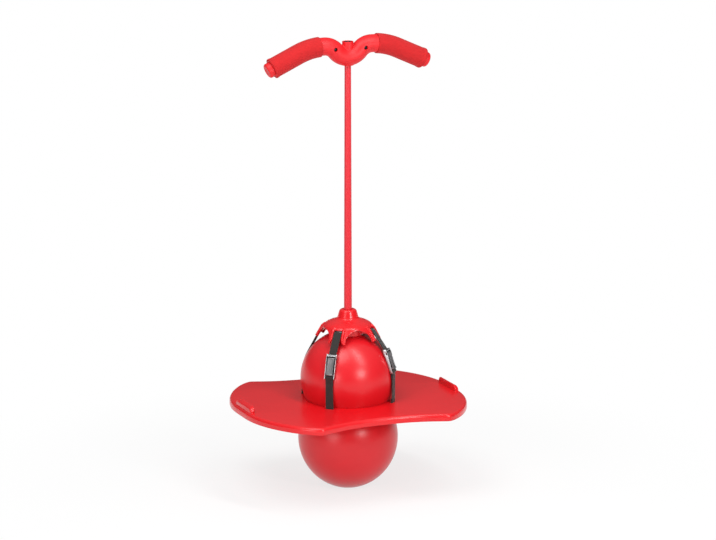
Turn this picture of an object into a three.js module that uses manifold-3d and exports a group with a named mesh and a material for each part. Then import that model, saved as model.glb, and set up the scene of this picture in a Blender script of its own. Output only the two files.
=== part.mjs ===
// Pogo ball: a hollow two-lobed bouncing ball, a moulded deck clamped round its waist, a strap crown
// on top and an elastic pull cord that ends in a gull-wing handle.
// Millimetres, +Z up. The origin is the centre of the ball's flat floor patch, +X runs along the deck.

import * as THREE from 'three';
import { mergeVertices } from 'three/addons/utils/BufferGeometryUtils.js';
import Module from 'manifold-3d';

const wasm = await Module();
wasm.setup();

// Ball
const LOWER_LOBE_RADIUS = 100;
const LOWER_LOBE_DEPTH = 105;
const UPPER_LOBE_RADIUS = 95;
const LOBE_SPACING = 122;
const WAIST_FILLET = 10;
const FLOOR_PATCH_RADIUS = 20;
const BALL_WALL = 3;
const VALVE_BORE_RADIUS = 5;
const VALVE_ELEVATION = 9;
const VALVE_HEAD_RADIUS = 7.5;
const VALVE_HEAD_THICKNESS = 1.6;
const VALVE_BARB_LENGTH = 4;
const VALVE_BARB_FLARE = 1;

// Deck
const DECK_LENGTH = 460;
const DECK_WIDTH = 394;
const DECK_WAIST_WIDTH = 343;
const DECK_SHOULDER_X = 135;
const DECK_END_FLAT = 48;
const DECK_WAIST_FULLNESS = 0.66;
const DECK_SHOULDER_FULLNESS = 0.9;
const DECK_CORNER_FULLNESS = 0.2;
const DECK_END_FULLNESS = 0.58;
const DECK_SIDE_STEPS = 5;
const DECK_CORNER_STEPS = 8;
const DECK_TOP_ABOVE_WAIST = 13.8;
const DECK_DEPTH = 14.5;
const DECK_EDGE_RADIUS = 5;
const DECK_PLATE = 4.5;
const DECK_WALL = 3.5;
const COLLAR_WALL = 6.5;
const COLLAR_DEPTH = 25;
const RIB_THICKNESS = 3;
const RIB_CLEAR_OF_RIM = 2;
const RIB_ANGLES = [0, 22.5, 67.5, 90, 112.5, 157.5];
const LIP_LENGTH = 80;
const LIP_HEIGHT = 13.5;
const LIP_THICKNESS = 9;
const LIP_INSET = 5;
const LIP_ROUNDING = 2;
const LIP_CORNER = 8.1;

// Strap crown, with heights above the top of the ball
const CAP_RIM_RADIUS = 64;
const CAP_RIM_HEIGHT = -14;
const CAP_SHOULDER_RADIUS = 46;
const CAP_SHOULDER_HEIGHT = 17;
const CAP_DOME_RADIUS = 34;
const CAP_DOME_HEIGHT = 21.5;
const CAP_NECK_FOOT_RADIUS = 21.5;
const CAP_NECK_FOOT_HEIGHT = 30.5;
const CAP_NECK_TOP_RADIUS = 15.5;
const CAP_NECK_TOP_HEIGHT = 44.6;
const CAP_NECK_ROUNDING = 4;
const CAP_NECK_FILLET = 3.5;
const CAP_SHOULDER_ROUNDING = 5;
const CAP_WALL = 3.5;
const CAP_ARCH_RADIUS = 30;
const CAP_ARCH_CENTRE_HEIGHT = -20;
const CAP_SEAT_RADIUS = 29;
const CAP_SEAT_WALL = 4;
const CAP_SEAT_OVERLAP = 2;
const CAP_SLOT_HEIGHT = 7.5;
const CAP_SLOT_OPENING = 5.5;
const CAP_NOTCH_RISE = 10;
const CAP_NOTCH_FOOT = 34;
const CAP_CHAMBER_RADIUS = 13;
const CAP_CHAMBER_HEIGHT = 27;
const CAP_PIN_RADIAL = 40.5;
const CAP_PIN_HEIGHT = 6;
const CAP_BOSS_OUTSIDE = 2;
const CAP_BOSS_BELOW = 3;

// Straps and the pins they are sewn round
const STRAP_COUNT = 4;
const STRAP_FIRST_ANGLE = 45;
const STRAP_WIDTH = 16;
const STRAP_THICKNESS = 1.6;
const STRAP_PIN_RADIUS = 2.5;
const STRAP_SEWN_LENGTH = 14;
const BOSS_LENGTH = 5;
const BOSS_DEPTH = 9.5;
const BOSS_WALL = 1.5;
const SLOT_PLAY = 1;
const KEEPER_DROP = 4.8;

// Cam buckles, laid on the upper lobe, with places up the strap from where the frame touches the ball
const BUCKLE_ELEVATION = 20.5;
const FRAME_LOW = -9;
const FRAME_TOP = 32;
const FRAME_PLATE = 1.2;
const EAR_THICKNESS = 1.2;
const EAR_HEIGHT = 8.4;
const EAR_END_HEIGHT = 5.6;
const EAR_TOP_HEIGHT = 7.2;
const BUCKLE_SIDE_PLAY = 1.2;
const LOOP_BAR_RADIUS = 1.8;
const LOOP_BAR_BELOW_FRAME = 5;
const LOOP_BAR_WALL = 1.5;
const LOOP_BAR_LIFT = 1;
const EAR_ROUNDING = 2;
const STRAP_TAIL_SHORT = 2;
const STRAP_ENTRY_PLAY = 0.5;
const BRIDGE_HEIGHT = 3;
const BRIDGE_THICKNESS = 1.4;
const BRIDGE_BELOW_TOP = 2.5;
const PIVOT_BELOW_TOP = 9;
const PIVOT_PIN_RADIUS = 1;
const PIVOT_HEAD_RADIUS = 1.8;
const PIVOT_HEAD_THICKNESS = 0.6;
const CAM_RADIUS = 2.5;
const LEVER_LENGTH = 33;
const LEVER_THICKNESS = 1.8;
const LEVER_LIP = 3;
const LEVER_LIP_RISE = 1.2;

// Pull cord and its end fittings
const CORD_LOWER_DIAMETER = 16;
const CORD_UPPER_DIAMETER = 13;
const CORD_LOWER_HEAD_DIAMETER = 22;
const CORD_UPPER_HEAD_DIAMETER = 17.4;
const CORD_HEAD_LENGTH = 15;
const CORD_UPPER_HEAD_LENGTH = 9;
const WASHER_THICKNESS = 2;
const PLUG_HEAD_THICKNESS = 2.5;
const PLUG_HEAD_SHORT = 1;
const RECESS_MOUTH = 0.6;
const RECESS_TIP = 0.3;
const FLARE_START = 0.45;

// Handle
const HANDLE_DIP_HEIGHT = 872;
const HANDLE_TUBE_DIAMETER = 35.6;
const HANDLE_WALL = 3;
const HANDLE_DIP_RADIUS = 32;
const HANDLE_DIP_ANGLE = 51;
const HANDLE_DROOP_RADIUS = 134;
const HANDLE_DROOP_ANGLE = 24.5;
const GRIP_DIAMETER = 40;
const GRIP_START = 67;
const GRIP_LENGTH = 107.5;
const GRIP_RIM_DIAMETER = 41.4;
const GRIP_RIM_LENGTH = 6;
const END_PLUG_DIAMETER = 30;
const END_PLUG_LENGTH = 11;
const END_PLUG_ROUNDING = 4;
const END_PLUG_STEM = 18;
const CUP_DIAMETER = 22.5;
const CUP_RISE = 31;
const CUP_SEAT_RISE = 16;
const SCREW_OFFSET = 32;
const SCREW_RADIUS = 1.8;
const SCREW_HEAD_RADIUS = 3.6;
const SCREW_HEAD_DEPTH = 6;
const SCREW_HEAD_THICKNESS = 2.6;
const SCREW_BOSS_RADIUS = 6;
const SCREW_REACH = 8;

// Clearance between pieces that touch, how far joined shapes sink into each other, and facet counts
const GAP = 0.3;
const SINK = 1;
const BALL_SIDES = 28;
const BALL_STEP = 18;
const CROWN_SIDES = 28;
const TUBE_SIDES = 12;
const BORE_SIDES = 8;
const ARCH_SIDES = 20;
const CROWN_STEPS = 3;
const ROUND_SIDES = 12;
const PIN_SIDES = 10;
const GRIP_STEPS = 8;
const CORE_STEPS = 28;
const PLUG_STEP = 30;
const CUT_MARGIN = 5;

const radians = THREE.MathUtils.degToRad;

// Materials
const redVinyl = new THREE.MeshStandardMaterial({ color: 0xe8343c, roughness: 0.32 });
const redPlastic = new THREE.MeshStandardMaterial({ color: 0xe0303a, roughness: 0.38 });
const redCord = new THREE.MeshStandardMaterial({ color: 0xe4323c, roughness: 0.45 });
const redFoam = new THREE.MeshStandardMaterial({ color: 0xdc302f, roughness: 0.7 });
const blackWebbing = new THREE.MeshStandardMaterial({ color: 0x2a2224, roughness: 0.9 });
const steel = new THREE.MeshStandardMaterial({ color: 0xb8bcbe, roughness: 0.3, metalness: 1 });
const leverGrey = new THREE.MeshStandardMaterial({ color: 0x84898c, roughness: 0.4, metalness: 1 });
const darkSteel = new THREE.MeshStandardMaterial({ color: 0x3c3c3e, roughness: 0.45, metalness: 1 });

// Makes a solid that can be joined and cut from a closed geometry, with its faces pointing out.
function solidFrom(geometry) {
  const bare = geometry.clone();
  bare.deleteAttribute('normal');
  bare.deleteAttribute('uv');
  const welded = mergeVertices(bare);
  const points = welded.attributes.position.array;
  const index = welded.index.array;
  const triangles = [];
  let volume = 0;
  const [a, b, c] = [new THREE.Vector3(), new THREE.Vector3(), new THREE.Vector3()];
  for (let i = 0; i < index.length; i += 3) {
    const [p, q, r] = index.slice(i, i + 3);
    if (p === q || q === r || r === p) continue;
    triangles.push([p, q, r]);
    a.fromArray(points, p * 3);
    b.fromArray(points, q * 3);
    c.fromArray(points, r * 3);
    volume += a.dot(b.cross(c));
  }
  const outward = volume < 0 ? triangles.map(([p, q, r]) => [p, r, q]) : triangles;
  const triVerts = new Uint32Array(outward.flat());
  return new wasm.Manifold(new wasm.Mesh({ numProp: 3, vertProperties: points, triVerts }));
}

function geometryFrom(solid) {
  const { vertProperties, triVerts } = solid.getMesh();
  const geometry = new THREE.BufferGeometry();
  geometry.setAttribute('position', new THREE.BufferAttribute(vertProperties, 3));
  geometry.setIndex(new THREE.BufferAttribute(triVerts, 1));
  geometry.computeVertexNormals();
  return geometry;
}

function joined(...geometries) {
  return geometries.map(solidFrom).reduce((whole, next) => whole.add(next));
}

function cut(solid, ...geometries) {
  return geometries.map(solidFrom).reduce((rest, tool) => rest.subtract(tool), solid);
}

function piece(name, solid, material) {
  const mesh = new THREE.Mesh(geometryFrom(solid), material);
  mesh.name = name;
  return mesh;
}

// Points on an elliptical arc in the (radius, height) plane, both ends included.
function arc(centreR, centreZ, radiusR, radiusZ, from, to, step) {
  const count = Math.max(1, Math.ceil(Math.abs(to - from) / step));
  return Array.from({ length: count + 1 }, (_, i) => {
    const angle = from + ((to - from) * i) / count;
    return [centreR + radiusR * Math.cos(angle), centreZ + radiusZ * Math.sin(angle)];
  });
}

// Turns a profile of [radius, height] points round the Z axis.
function revolve(profile, sides) {
  const points = profile.map(([radius, height]) => new THREE.Vector2(radius, height));
  return new THREE.LatheGeometry(points, sides).rotateX(Math.PI / 2);
}

function outline(points) {
  return new THREE.Shape(points.map(([x, y]) => new THREE.Vector2(x, y)));
}

function block(x0, x1, y0, y1, z0, z1) {
  const box = new THREE.BoxGeometry(x1 - x0, y1 - y0, z1 - z0);
  return box.translate((x0 + x1) / 2, (y0 + y1) / 2, (z0 + z1) / 2);
}

// A rod along Y, the tangent direction at a strap, centred on (x, z).
function rod(radius, y0, y1, x, z, sides = PIN_SIDES) {
  const cylinder = new THREE.CylinderGeometry(radius, radius, y1 - y0, sides);
  return cylinder.translate(x, (y0 + y1) / 2, z);
}

// A rod along Z.
function post(radius, z0, z1, sides = ROUND_SIDES) {
  return revolve([[0, z0], [radius, z0], [radius, z1], [0, z1]], sides);
}

// An outline drawn in the (x, z) plane, given a width centred on y = 0.
function slab(shape, width) {
  const body = new THREE.ExtrudeGeometry(shape, { depth: width, bevelEnabled: false, curveSegments: 6 });
  return body.translate(0, 0, -width / 2).rotateX(Math.PI / 2);
}

// An outline drawn in the (y, z) plane, extruded from x0 to x1.
function prism(shape, x0, x1) {
  const body = new THREE.ExtrudeGeometry(shape, { depth: x1 - x0, bevelEnabled: false });
  return body.rotateX(Math.PI / 2).rotateZ(Math.PI / 2).translate(x0, 0, 0);
}

function ring(outerRadius, innerRadius, width, x, z, sides = ROUND_SIDES) {
  const disc = solidFrom(rod(outerRadius, -width / 2, width / 2, x, z, sides));
  return cut(disc, rod(innerRadius, -width, width, x, z, sides));
}

// Ball outline: lower lobe, waist fillet and upper lobe as tangent arcs.
const lowerCentre = LOWER_LOBE_DEPTH * Math.sqrt(1 - (FLOOR_PATCH_RADIUS / LOWER_LOBE_RADIUS) ** 2);
const upperCentre = lowerCentre + LOBE_SPACING;
const ballTop = upperCentre + UPPER_LOBE_RADIUS;
const lowerReach = LOWER_LOBE_RADIUS + WAIST_FILLET;
const upperReach = UPPER_LOBE_RADIUS + WAIST_FILLET;
const waistRise = (LOBE_SPACING ** 2 + lowerReach ** 2 - upperReach ** 2) / (2 * LOBE_SPACING);
const waistHeight = lowerCentre + waistRise;
const filletCentreRadius = Math.sqrt(lowerReach ** 2 - waistRise ** 2);

function ballOutline(grow, step) {
  const lowerRadius = LOWER_LOBE_RADIUS + grow;
  const lowerDepth = LOWER_LOBE_DEPTH + grow;
  const upperRadius = UPPER_LOBE_RADIUS + grow;
  const fillet = WAIST_FILLET - grow;
  const floorAngle = Math.asin((lowerCentre + grow) / lowerDepth);
  const lowerJoin = Math.atan2(waistRise, filletCentreRadius);
  const upperJoin = Math.atan2(LOBE_SPACING - waistRise, filletCentreRadius);
  return [
    [0, -grow],
    ...arc(0, lowerCentre, lowerRadius, lowerDepth, -floorAngle, 0, step),
    ...arc(0, lowerCentre, lowerRadius, lowerRadius, 0, lowerJoin, step),
    ...arc(filletCentreRadius, waistHeight, fillet, fillet, Math.PI + lowerJoin, Math.PI - upperJoin, step),
    ...arc(0, upperCentre, upperRadius, upperRadius, -upperJoin, Math.PI / 2, step),
  ];
}

const ballCutter = () => revolve(ballOutline(GAP, radians(BALL_STEP)), BALL_SIDES);

// Radius of the ball's outside at a height near its waist.
function ballRadiusAt(height) {
  const [centre, radius] = height > waistHeight
    ? [upperCentre, UPPER_LOBE_RADIUS]
    : [lowerCentre, LOWER_LOBE_RADIUS];
  return Math.sqrt(radius ** 2 - (height - centre) ** 2);
}

// The valve lies along +X here and is turned to the rear of the ball, away from the deck's front edge.
function placeValve(geometry) {
  return geometry.rotateY(-radians(VALVE_ELEVATION)).rotateZ(Math.PI / 2).translate(0, 0, upperCentre);
}

function valveTurned(profile) {
  return placeValve(revolve(profile, ROUND_SIDES).rotateY(Math.PI / 2));
}

function makeBall() {
  const shell = cut(
    solidFrom(revolve(ballOutline(0, radians(BALL_STEP)), BALL_SIDES)),
    revolve(ballOutline(-BALL_WALL, radians(BALL_STEP)), BALL_SIDES),
  );
  const inside = UPPER_LOBE_RADIUS - BALL_WALL - CUT_MARGIN;
  const outside = UPPER_LOBE_RADIUS + CUT_MARGIN;
  const bore = [[0, inside], [VALVE_BORE_RADIUS, inside], [VALVE_BORE_RADIUS, outside], [0, outside]];
  return piece('ball', cut(shell, valveTurned(bore)), redVinyl);
}

// Mushroom plug: a flat head outside, a stem in the bore and a tapered barb inside the wall.
function makeValvePlug() {
  const stem = VALVE_BORE_RADIUS - GAP;
  const head = UPPER_LOBE_RADIUS + GAP;
  const facetSag = UPPER_LOBE_RADIUS * (1 - Math.cos(radians(BALL_STEP / 2)));
  const barb = UPPER_LOBE_RADIUS - BALL_WALL - facetSag - 2 * GAP;
  const profile = [
    [0, barb - VALVE_BARB_LENGTH],
    [stem / 2, barb - VALVE_BARB_LENGTH],
    [VALVE_BORE_RADIUS + VALVE_BARB_FLARE, barb - VALVE_BARB_FLARE],
    [VALVE_BORE_RADIUS + VALVE_BARB_FLARE, barb],
    [stem, barb],
    [stem, head],
    [VALVE_HEAD_RADIUS, head],
    [VALVE_HEAD_RADIUS - VALVE_BARB_FLARE, head + VALVE_HEAD_THICKNESS],
    [0, head + VALVE_HEAD_THICKNESS],
  ];
  return piece('valve_plug', solidFrom(valveTurned(profile)), redVinyl);
}

// Deck
const deckTop = waistHeight + DECK_TOP_ABOVE_WAIST;
const deckRim = deckTop - DECK_DEPTH;
const plateUnderside = deckTop - DECK_PLATE;
const collarBottom = deckTop - COLLAR_DEPTH;
const collarRadius = Math.max(ballRadiusAt(deckTop), ballRadiusAt(collarBottom)) + GAP + COLLAR_WALL;
const slotWidth = 2 * STRAP_THICKNESS + 2 * SLOT_PLAY;
const slotRadius = collarRadius + STRAP_PIN_RADIUS + STRAP_THICKNESS + 2 * GAP;
const keeperHeight = plateUnderside - KEEPER_DROP;
const bossInner = STRAP_WIDTH / 2 + 4 * GAP;
const bossOuter = bossInner + BOSS_LENGTH;
const pinHalfLength = bossOuter - SINK;

// Deck outline: long sides drawn in at the middle, full shoulders and broad rounded ends.
function deckOutline(inset) {
  const length = DECK_LENGTH / 2 - inset;
  const waist = DECK_WAIST_WIDTH / 2 - inset;
  const shoulder = DECK_WIDTH / 2 - inset;
  const flat = DECK_END_FLAT / 2;
  const shoulderX = DECK_SHOULDER_X;
  const cornerX = length - shoulderX;
  const cornerY = shoulder - flat;
  const side = new THREE.CubicBezierCurve(
    new THREE.Vector2(0, waist),
    new THREE.Vector2(shoulderX * DECK_WAIST_FULLNESS, waist),
    new THREE.Vector2(shoulderX * DECK_SHOULDER_FULLNESS, shoulder),
    new THREE.Vector2(shoulderX, shoulder),
  );
  const corner = new THREE.CubicBezierCurve(
    new THREE.Vector2(shoulderX, shoulder),
    new THREE.Vector2(shoulderX + cornerX * DECK_CORNER_FULLNESS, shoulder),
    new THREE.Vector2(length - inset / 2, flat + cornerY * DECK_END_FULLNESS),
    new THREE.Vector2(length, flat),
  );
  const quarter = [
    ...side.getPoints(DECK_SIDE_STEPS),
    ...corner.getPoints(DECK_CORNER_STEPS).slice(1),
  ].map((p) => [p.x, p.y]);
  const back = [...quarter].reverse();
  return outline([
    ...back,
    ...quarter.slice(1).map(([x, y]) => [-x, y]),
    ...back.map(([x, y]) => [-x, -y]),
    ...quarter.slice(1).map(([x, y]) => [x, -y]),
  ]);
}

function makeDeck() {
  const straight = DECK_DEPTH - DECK_EDGE_RADIUS + CUT_MARGIN;
  const slabBody = new THREE.ExtrudeGeometry(deckOutline(0), {
    depth: straight,
    bevelThickness: DECK_EDGE_RADIUS,
    bevelSize: DECK_EDGE_RADIUS,
    bevelOffset: -DECK_EDGE_RADIUS,
    bevelSegments: 3,
  }).translate(0, 0, deckTop - straight - DECK_EDGE_RADIUS);
  const reach = DECK_LENGTH;
  const underRim = block(-reach, reach, -reach, reach, deckRim - reach, deckRim);
  const cavityDepth = plateUnderside - deckRim + CUT_MARGIN;
  const cavity = () => new THREE.ExtrudeGeometry(deckOutline(DECK_WALL), {
    depth: cavityDepth,
    bevelEnabled: false,
  }).translate(0, 0, plateUnderside - cavityDepth);
  let deck = cut(solidFrom(slabBody), underRim, cavity());

  // Ribs fan out from the collar to the skirt between the strap slots.
  const ribBottom = deckRim + RIB_CLEAR_OF_RIM;
  const ribs = RIB_ANGLES.map((angle) => {
    const rib = block(-reach, reach, -RIB_THICKNESS / 2, RIB_THICKNESS / 2, ribBottom, plateUnderside + SINK);
    return rib.rotateZ(radians(angle));
  });
  const ribField = new THREE.ExtrudeGeometry(deckOutline(DECK_WALL / 2), {
    depth: DECK_DEPTH,
    bevelEnabled: false,
  }).translate(0, 0, deckRim);
  deck = deck.add(joined(...ribs).intersect(solidFrom(ribField)));
  deck = deck.add(solidFrom(post(collarRadius, collarBottom, deckTop - DECK_PLATE / 2, BALL_SIDES)));

  for (const end of [1, -1]) {
    deck = deck.add(solidFrom(footLip().rotateZ(end > 0 ? 0 : Math.PI)));
  }
  for (let i = 0; i < STRAP_COUNT; i += 1) {
    const turn = strapAngle(i);
    for (const side of [1, -1]) {
      const [y0, y1] = [side * bossInner, side * bossOuter].sort((p, q) => p - q);
      const radialInner = slotRadius - BOSS_DEPTH / 2;
      const radialOuter = slotRadius + BOSS_DEPTH / 2;
      const bottom = keeperHeight - STRAP_PIN_RADIUS - GAP - BOSS_WALL;
      const boss = block(radialInner, radialOuter, y0, y1, bottom, plateUnderside + SINK);
      deck = deck.add(solidFrom(boss.rotateZ(turn)));
    }
    const halfSlot = STRAP_WIDTH / 2 + SLOT_PLAY;
    const slot = block(
      slotRadius - slotWidth / 2, slotRadius + slotWidth / 2,
      -halfSlot, halfSlot, plateUnderside - SINK, deckTop + CUT_MARGIN,
    );
    const bore = rod(
      STRAP_PIN_RADIUS + GAP, -pinHalfLength - GAP, bossOuter + CUT_MARGIN, slotRadius, keeperHeight,
    );
    deck = cut(deck, slot.rotateZ(turn), bore.rotateZ(turn));
  }
  return piece('deck', cut(deck, ballCutter()), redPlastic);
}

// Raised lip at the deck's end that stops the foot from sliding off.
function footLip() {
  const half = LIP_LENGTH / 2;
  const sunk = -DECK_PLATE / 2;
  const face = new THREE.Shape();
  face.moveTo(-half, sunk);
  face.lineTo(half, sunk);
  face.quadraticCurveTo(half, LIP_HEIGHT, half - LIP_CORNER, LIP_HEIGHT);
  face.lineTo(LIP_CORNER - half, LIP_HEIGHT);
  face.quadraticCurveTo(-half, LIP_HEIGHT, -half, sunk);
  const body = new THREE.ExtrudeGeometry(face, {
    depth: LIP_THICKNESS - 2 * LIP_ROUNDING,
    bevelThickness: LIP_ROUNDING,
    bevelSize: LIP_ROUNDING,
    bevelOffset: -LIP_ROUNDING,
    bevelSegments: 2,
    curveSegments: 4,
  });
  const innerFace = DECK_LENGTH / 2 - LIP_INSET - LIP_THICKNESS + LIP_ROUNDING;
  return body.rotateX(Math.PI / 2).rotateZ(Math.PI / 2).translate(innerFace, 0, deckTop);
}

// Strap crown: a cone on four arched legs, slotted for the straps, with a neck for the cord.
const capRim = ballTop + CAP_RIM_HEIGHT;
const capTop = ballTop + CAP_NECK_TOP_HEIGHT;
const chamberTop = ballTop + CAP_CHAMBER_HEIGHT;
const capPinHeight = ballTop + CAP_PIN_HEIGHT;

function capProfile(wall) {
  const path = new THREE.Path();
  const shoulder = CAP_SHOULDER_RADIUS - wall;
  const shoulderHeight = ballTop + CAP_SHOULDER_HEIGHT - wall;
  const rim = CAP_RIM_RADIUS - wall;
  const slope = (rim - shoulder) / (shoulderHeight - capRim);
  const flank = shoulderHeight - CAP_SHOULDER_ROUNDING;
  path.moveTo(rim, capRim);
  path.lineTo(shoulder + slope * (shoulderHeight - flank), flank);
  path.quadraticCurveTo(shoulder, shoulderHeight, CAP_DOME_RADIUS, ballTop + CAP_DOME_HEIGHT - wall);
  return path;
}

function makeCap() {
  const outside = capProfile(0);
  const dome = ballTop + CAP_DOME_HEIGHT;
  const neckFoot = ballTop + CAP_NECK_FOOT_HEIGHT;
  outside.quadraticCurveTo(
    CAP_NECK_FOOT_RADIUS + CAP_NECK_FILLET, dome + CAP_NECK_FILLET, CAP_NECK_FOOT_RADIUS, neckFoot,
  );
  outside.lineTo(CAP_NECK_TOP_RADIUS + CAP_NECK_ROUNDING / 2, capTop - CAP_NECK_ROUNDING);
  outside.quadraticCurveTo(CAP_NECK_TOP_RADIUS, capTop, CAP_NECK_TOP_RADIUS - CAP_NECK_ROUNDING, capTop);
  const skin = () => outside.getPoints(CROWN_STEPS).map((p) => [p.x, p.y]);
  const solidOutside = () => solidFrom(revolve([[0, capRim], ...skin(), [0, capTop]], CROWN_SIDES));

  const underside = capProfile(CAP_WALL).getPoints(CROWN_STEPS).map((p) => [p.x, p.y]);
  const [lowestRadius] = underside[0];
  const domeInside = dome - CAP_WALL;
  const hollow = [
    [0, capRim - CUT_MARGIN],
    [lowestRadius, capRim - CUT_MARGIN],
    ...underside,
    [CAP_CHAMBER_RADIUS, domeInside + CAP_SEAT_OVERLAP],
    [CAP_CHAMBER_RADIUS, chamberTop],
    [0, chamberTop],
  ];
  let cap = cut(solidOutside(), revolve(hollow, CROWN_SIDES));

  // The seat ring carries the crown on the ball and hides the cord's lower fitting.
  const seatOuter = CAP_SEAT_RADIUS + CAP_SEAT_WALL;
  const cutStart = seatOuter + CAP_SEAT_OVERLAP;
  const cutEnd = CAP_RIM_RADIUS + CUT_MARGIN;
  for (let i = 0; i < STRAP_COUNT; i += 1) {
    const arch = new THREE.CylinderGeometry(CAP_ARCH_RADIUS, CAP_ARCH_RADIUS, cutEnd - cutStart, ARCH_SIDES);
    arch.rotateZ(Math.PI / 2).translate((cutStart + cutEnd) / 2, 0, ballTop + CAP_ARCH_CENTRE_HEIGHT);
    const half = STRAP_WIDTH / 2 + SLOT_PLAY;
    const slotLow = ballTop + CAP_SLOT_HEIGHT - CAP_SLOT_OPENING / 2;
    const slot = block(cutStart, cutEnd, -half, half, slotLow, slotLow + CAP_SLOT_OPENING);
    const foot = CAP_NOTCH_FOOT / 2;
    const notchTop = capRim + CAP_NOTCH_RISE;
    const notchLow = capRim - CUT_MARGIN;
    const notch = prism(
      outline([[-foot, notchLow], [foot, notchLow], [foot, capRim], [half, notchTop], [-half, notchTop],
        [-foot, capRim]]),
      cutStart, cutEnd,
    );
    const archTurn = strapAngle(i) - Math.PI / STRAP_COUNT;
    cap = cut(cap, arch.rotateZ(archTurn), slot.rotateZ(strapAngle(i)), notch.rotateZ(strapAngle(i)));
  }
  const seat = cut(
    solidFrom(post(seatOuter, capRim, domeInside + CAP_SEAT_OVERLAP, CROWN_SIDES)),
    post(CAP_SEAT_RADIUS, capRim - CUT_MARGIN, domeInside + CUT_MARGIN, CROWN_SIDES),
  );
  let supports = seat;
  const pinBores = [];
  for (let i = 0; i < STRAP_COUNT; i += 1) {
    for (const side of [1, -1]) {
      const [y0, y1] = [side * bossInner, side * bossOuter].sort((p, q) => p - q);
      const inner = CAP_SEAT_RADIUS + CAP_SEAT_WALL / 2;
      const outer = CAP_PIN_RADIAL + STRAP_PIN_RADIUS + CAP_BOSS_OUTSIDE;
      const low = capPinHeight - STRAP_PIN_RADIUS - CAP_BOSS_BELOW;
      const boss = block(inner, outer, y0, y1, low, dome);
      supports = supports.add(solidFrom(boss.rotateZ(strapAngle(i))));
    }
    const bore = rod(
      STRAP_PIN_RADIUS + GAP, -pinHalfLength - GAP, bossOuter + CUT_MARGIN, CAP_PIN_RADIAL, capPinHeight,
    );
    pinBores.push(bore.rotateZ(strapAngle(i)));
  }
  cap = cap.add(supports.intersect(solidOutside()));
  const cordBore = post(CORD_LOWER_DIAMETER / 2 + GAP, chamberTop - SINK, capTop + CUT_MARGIN);
  return piece('cap', cut(cap, cordBore, ballCutter(), ...pinBores), redPlastic);
}

// Straps and buckles are drawn once in the radial plane, x outwards, and turned to each strap's angle.
function strapAngle(i) {
  return radians(STRAP_FIRST_ANGLE + (360 / STRAP_COUNT) * i);
}

const buckleTilt = radians(BUCKLE_ELEVATION);
const buckleSeat = [
  UPPER_LOBE_RADIUS * Math.cos(buckleTilt),
  upperCentre + UPPER_LOBE_RADIUS * Math.sin(buckleTilt),
];

// A place on the buckle, off the ball and up the strap, as [radius, height].
function onBuckle(offBall, up) {
  return [
    buckleSeat[0] + offBall * Math.cos(buckleTilt) - up * Math.sin(buckleTilt),
    buckleSeat[1] + offBall * Math.sin(buckleTilt) + up * Math.cos(buckleTilt),
  ];
}

const framePlateTop = GAP + FRAME_PLATE;
const strapOnPlate = framePlateTop + GAP + STRAP_THICKNESS / 2;
const loopBarOffBall = strapOnPlate + LOOP_BAR_LIFT;
const loopBarUp = FRAME_LOW - LOOP_BAR_BELOW_FRAME;
const pivotOffBall = strapOnPlate + STRAP_THICKNESS / 2 + GAP + CAM_RADIUS;
const pivotUp = FRAME_TOP - PIVOT_BELOW_TOP;
const earInner = STRAP_WIDTH / 2 + BUCKLE_SIDE_PLAY;
const earOuter = earInner + EAR_THICKNESS;
const leverHalfWidth = earInner - 2 * GAP;
const sewnRing = STRAP_PIN_RADIUS + GAP + STRAP_THICKNESS;
const barRing = LOOP_BAR_RADIUS + GAP + STRAP_THICKNESS;
const keeper = [slotRadius, keeperHeight];
const capLoop = [CAP_PIN_RADIAL, capPinHeight];

// The strap bends down as it comes out of the crown's slot, just outside the crown's wall.
const capExit = (() => {
  const height = ballTop + CAP_SLOT_HEIGHT;
  const slope = (CAP_RIM_RADIUS - CAP_SHOULDER_RADIUS) / (CAP_SHOULDER_HEIGHT - CAP_RIM_HEIGHT);
  const wall = CAP_SHOULDER_RADIUS + slope * (CAP_SHOULDER_HEIGHT - CAP_SLOT_HEIGHT);
  return [wall + (STRAP_THICKNESS / 2 + 2 * GAP) * Math.hypot(1, slope), height];
})();

// A flat band of webbing whose middle runs through points in the radial plane.
function webbing(points, thickness) {
  const middle = points.map(([x, z]) => new THREE.Vector2(x, z));
  const steps = middle.slice(1).map((p, i) => p.clone().sub(middle[i]).normalize());
  const offsets = middle.map((_, i) => {
    const before = steps[Math.max(0, i - 1)];
    const after = steps[Math.min(steps.length - 1, i)];
    const along = before.clone().add(after).normalize();
    const reach = thickness / 2 / along.dot(after);
    return new THREE.Vector2(-along.y, along.x).multiplyScalar(reach);
  });
  const upper = middle.map((p, i) => p.clone().add(offsets[i]));
  const lower = middle.map((p, i) => p.clone().sub(offsets[i]));
  return slab(new THREE.Shape([...upper, ...lower.reverse()]), STRAP_WIDTH);
}

function towards(from, to, distance) {
  const [x, z] = [to[0] - from[0], to[1] - from[1]];
  const length = Math.hypot(x, z);
  return [from[0] + (x / length) * distance, from[1] + (z / length) * distance];
}

// The stitched double layer beside a loop, from the loop's middle to the end of the stitching.
function sewnEnd(centre, next, loopRadius) {
  const start = towards(centre, next, loopRadius - STRAP_THICKNESS / 2);
  const end = towards(centre, next, loopRadius + STRAP_SEWN_LENGTH);
  return webbing([start, end], 2 * STRAP_THICKNESS);
}

// A strap of several straight runs that starts in a loop round its pin in the crown.
function strapFromCap(points) {
  const start = towards(capLoop, points[0], sewnRing - STRAP_THICKNESS / 2);
  return ring(sewnRing, STRAP_PIN_RADIUS + GAP, STRAP_WIDTH, ...capLoop)
    .add(solidFrom(webbing([start, ...points], STRAP_THICKNESS)));
}

function keeperLoop(next) {
  return ring(sewnRing, STRAP_PIN_RADIUS + GAP, STRAP_WIDTH, ...keeper)
    .add(solidFrom(sewnEnd(keeper, next, sewnRing)));
}

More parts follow.
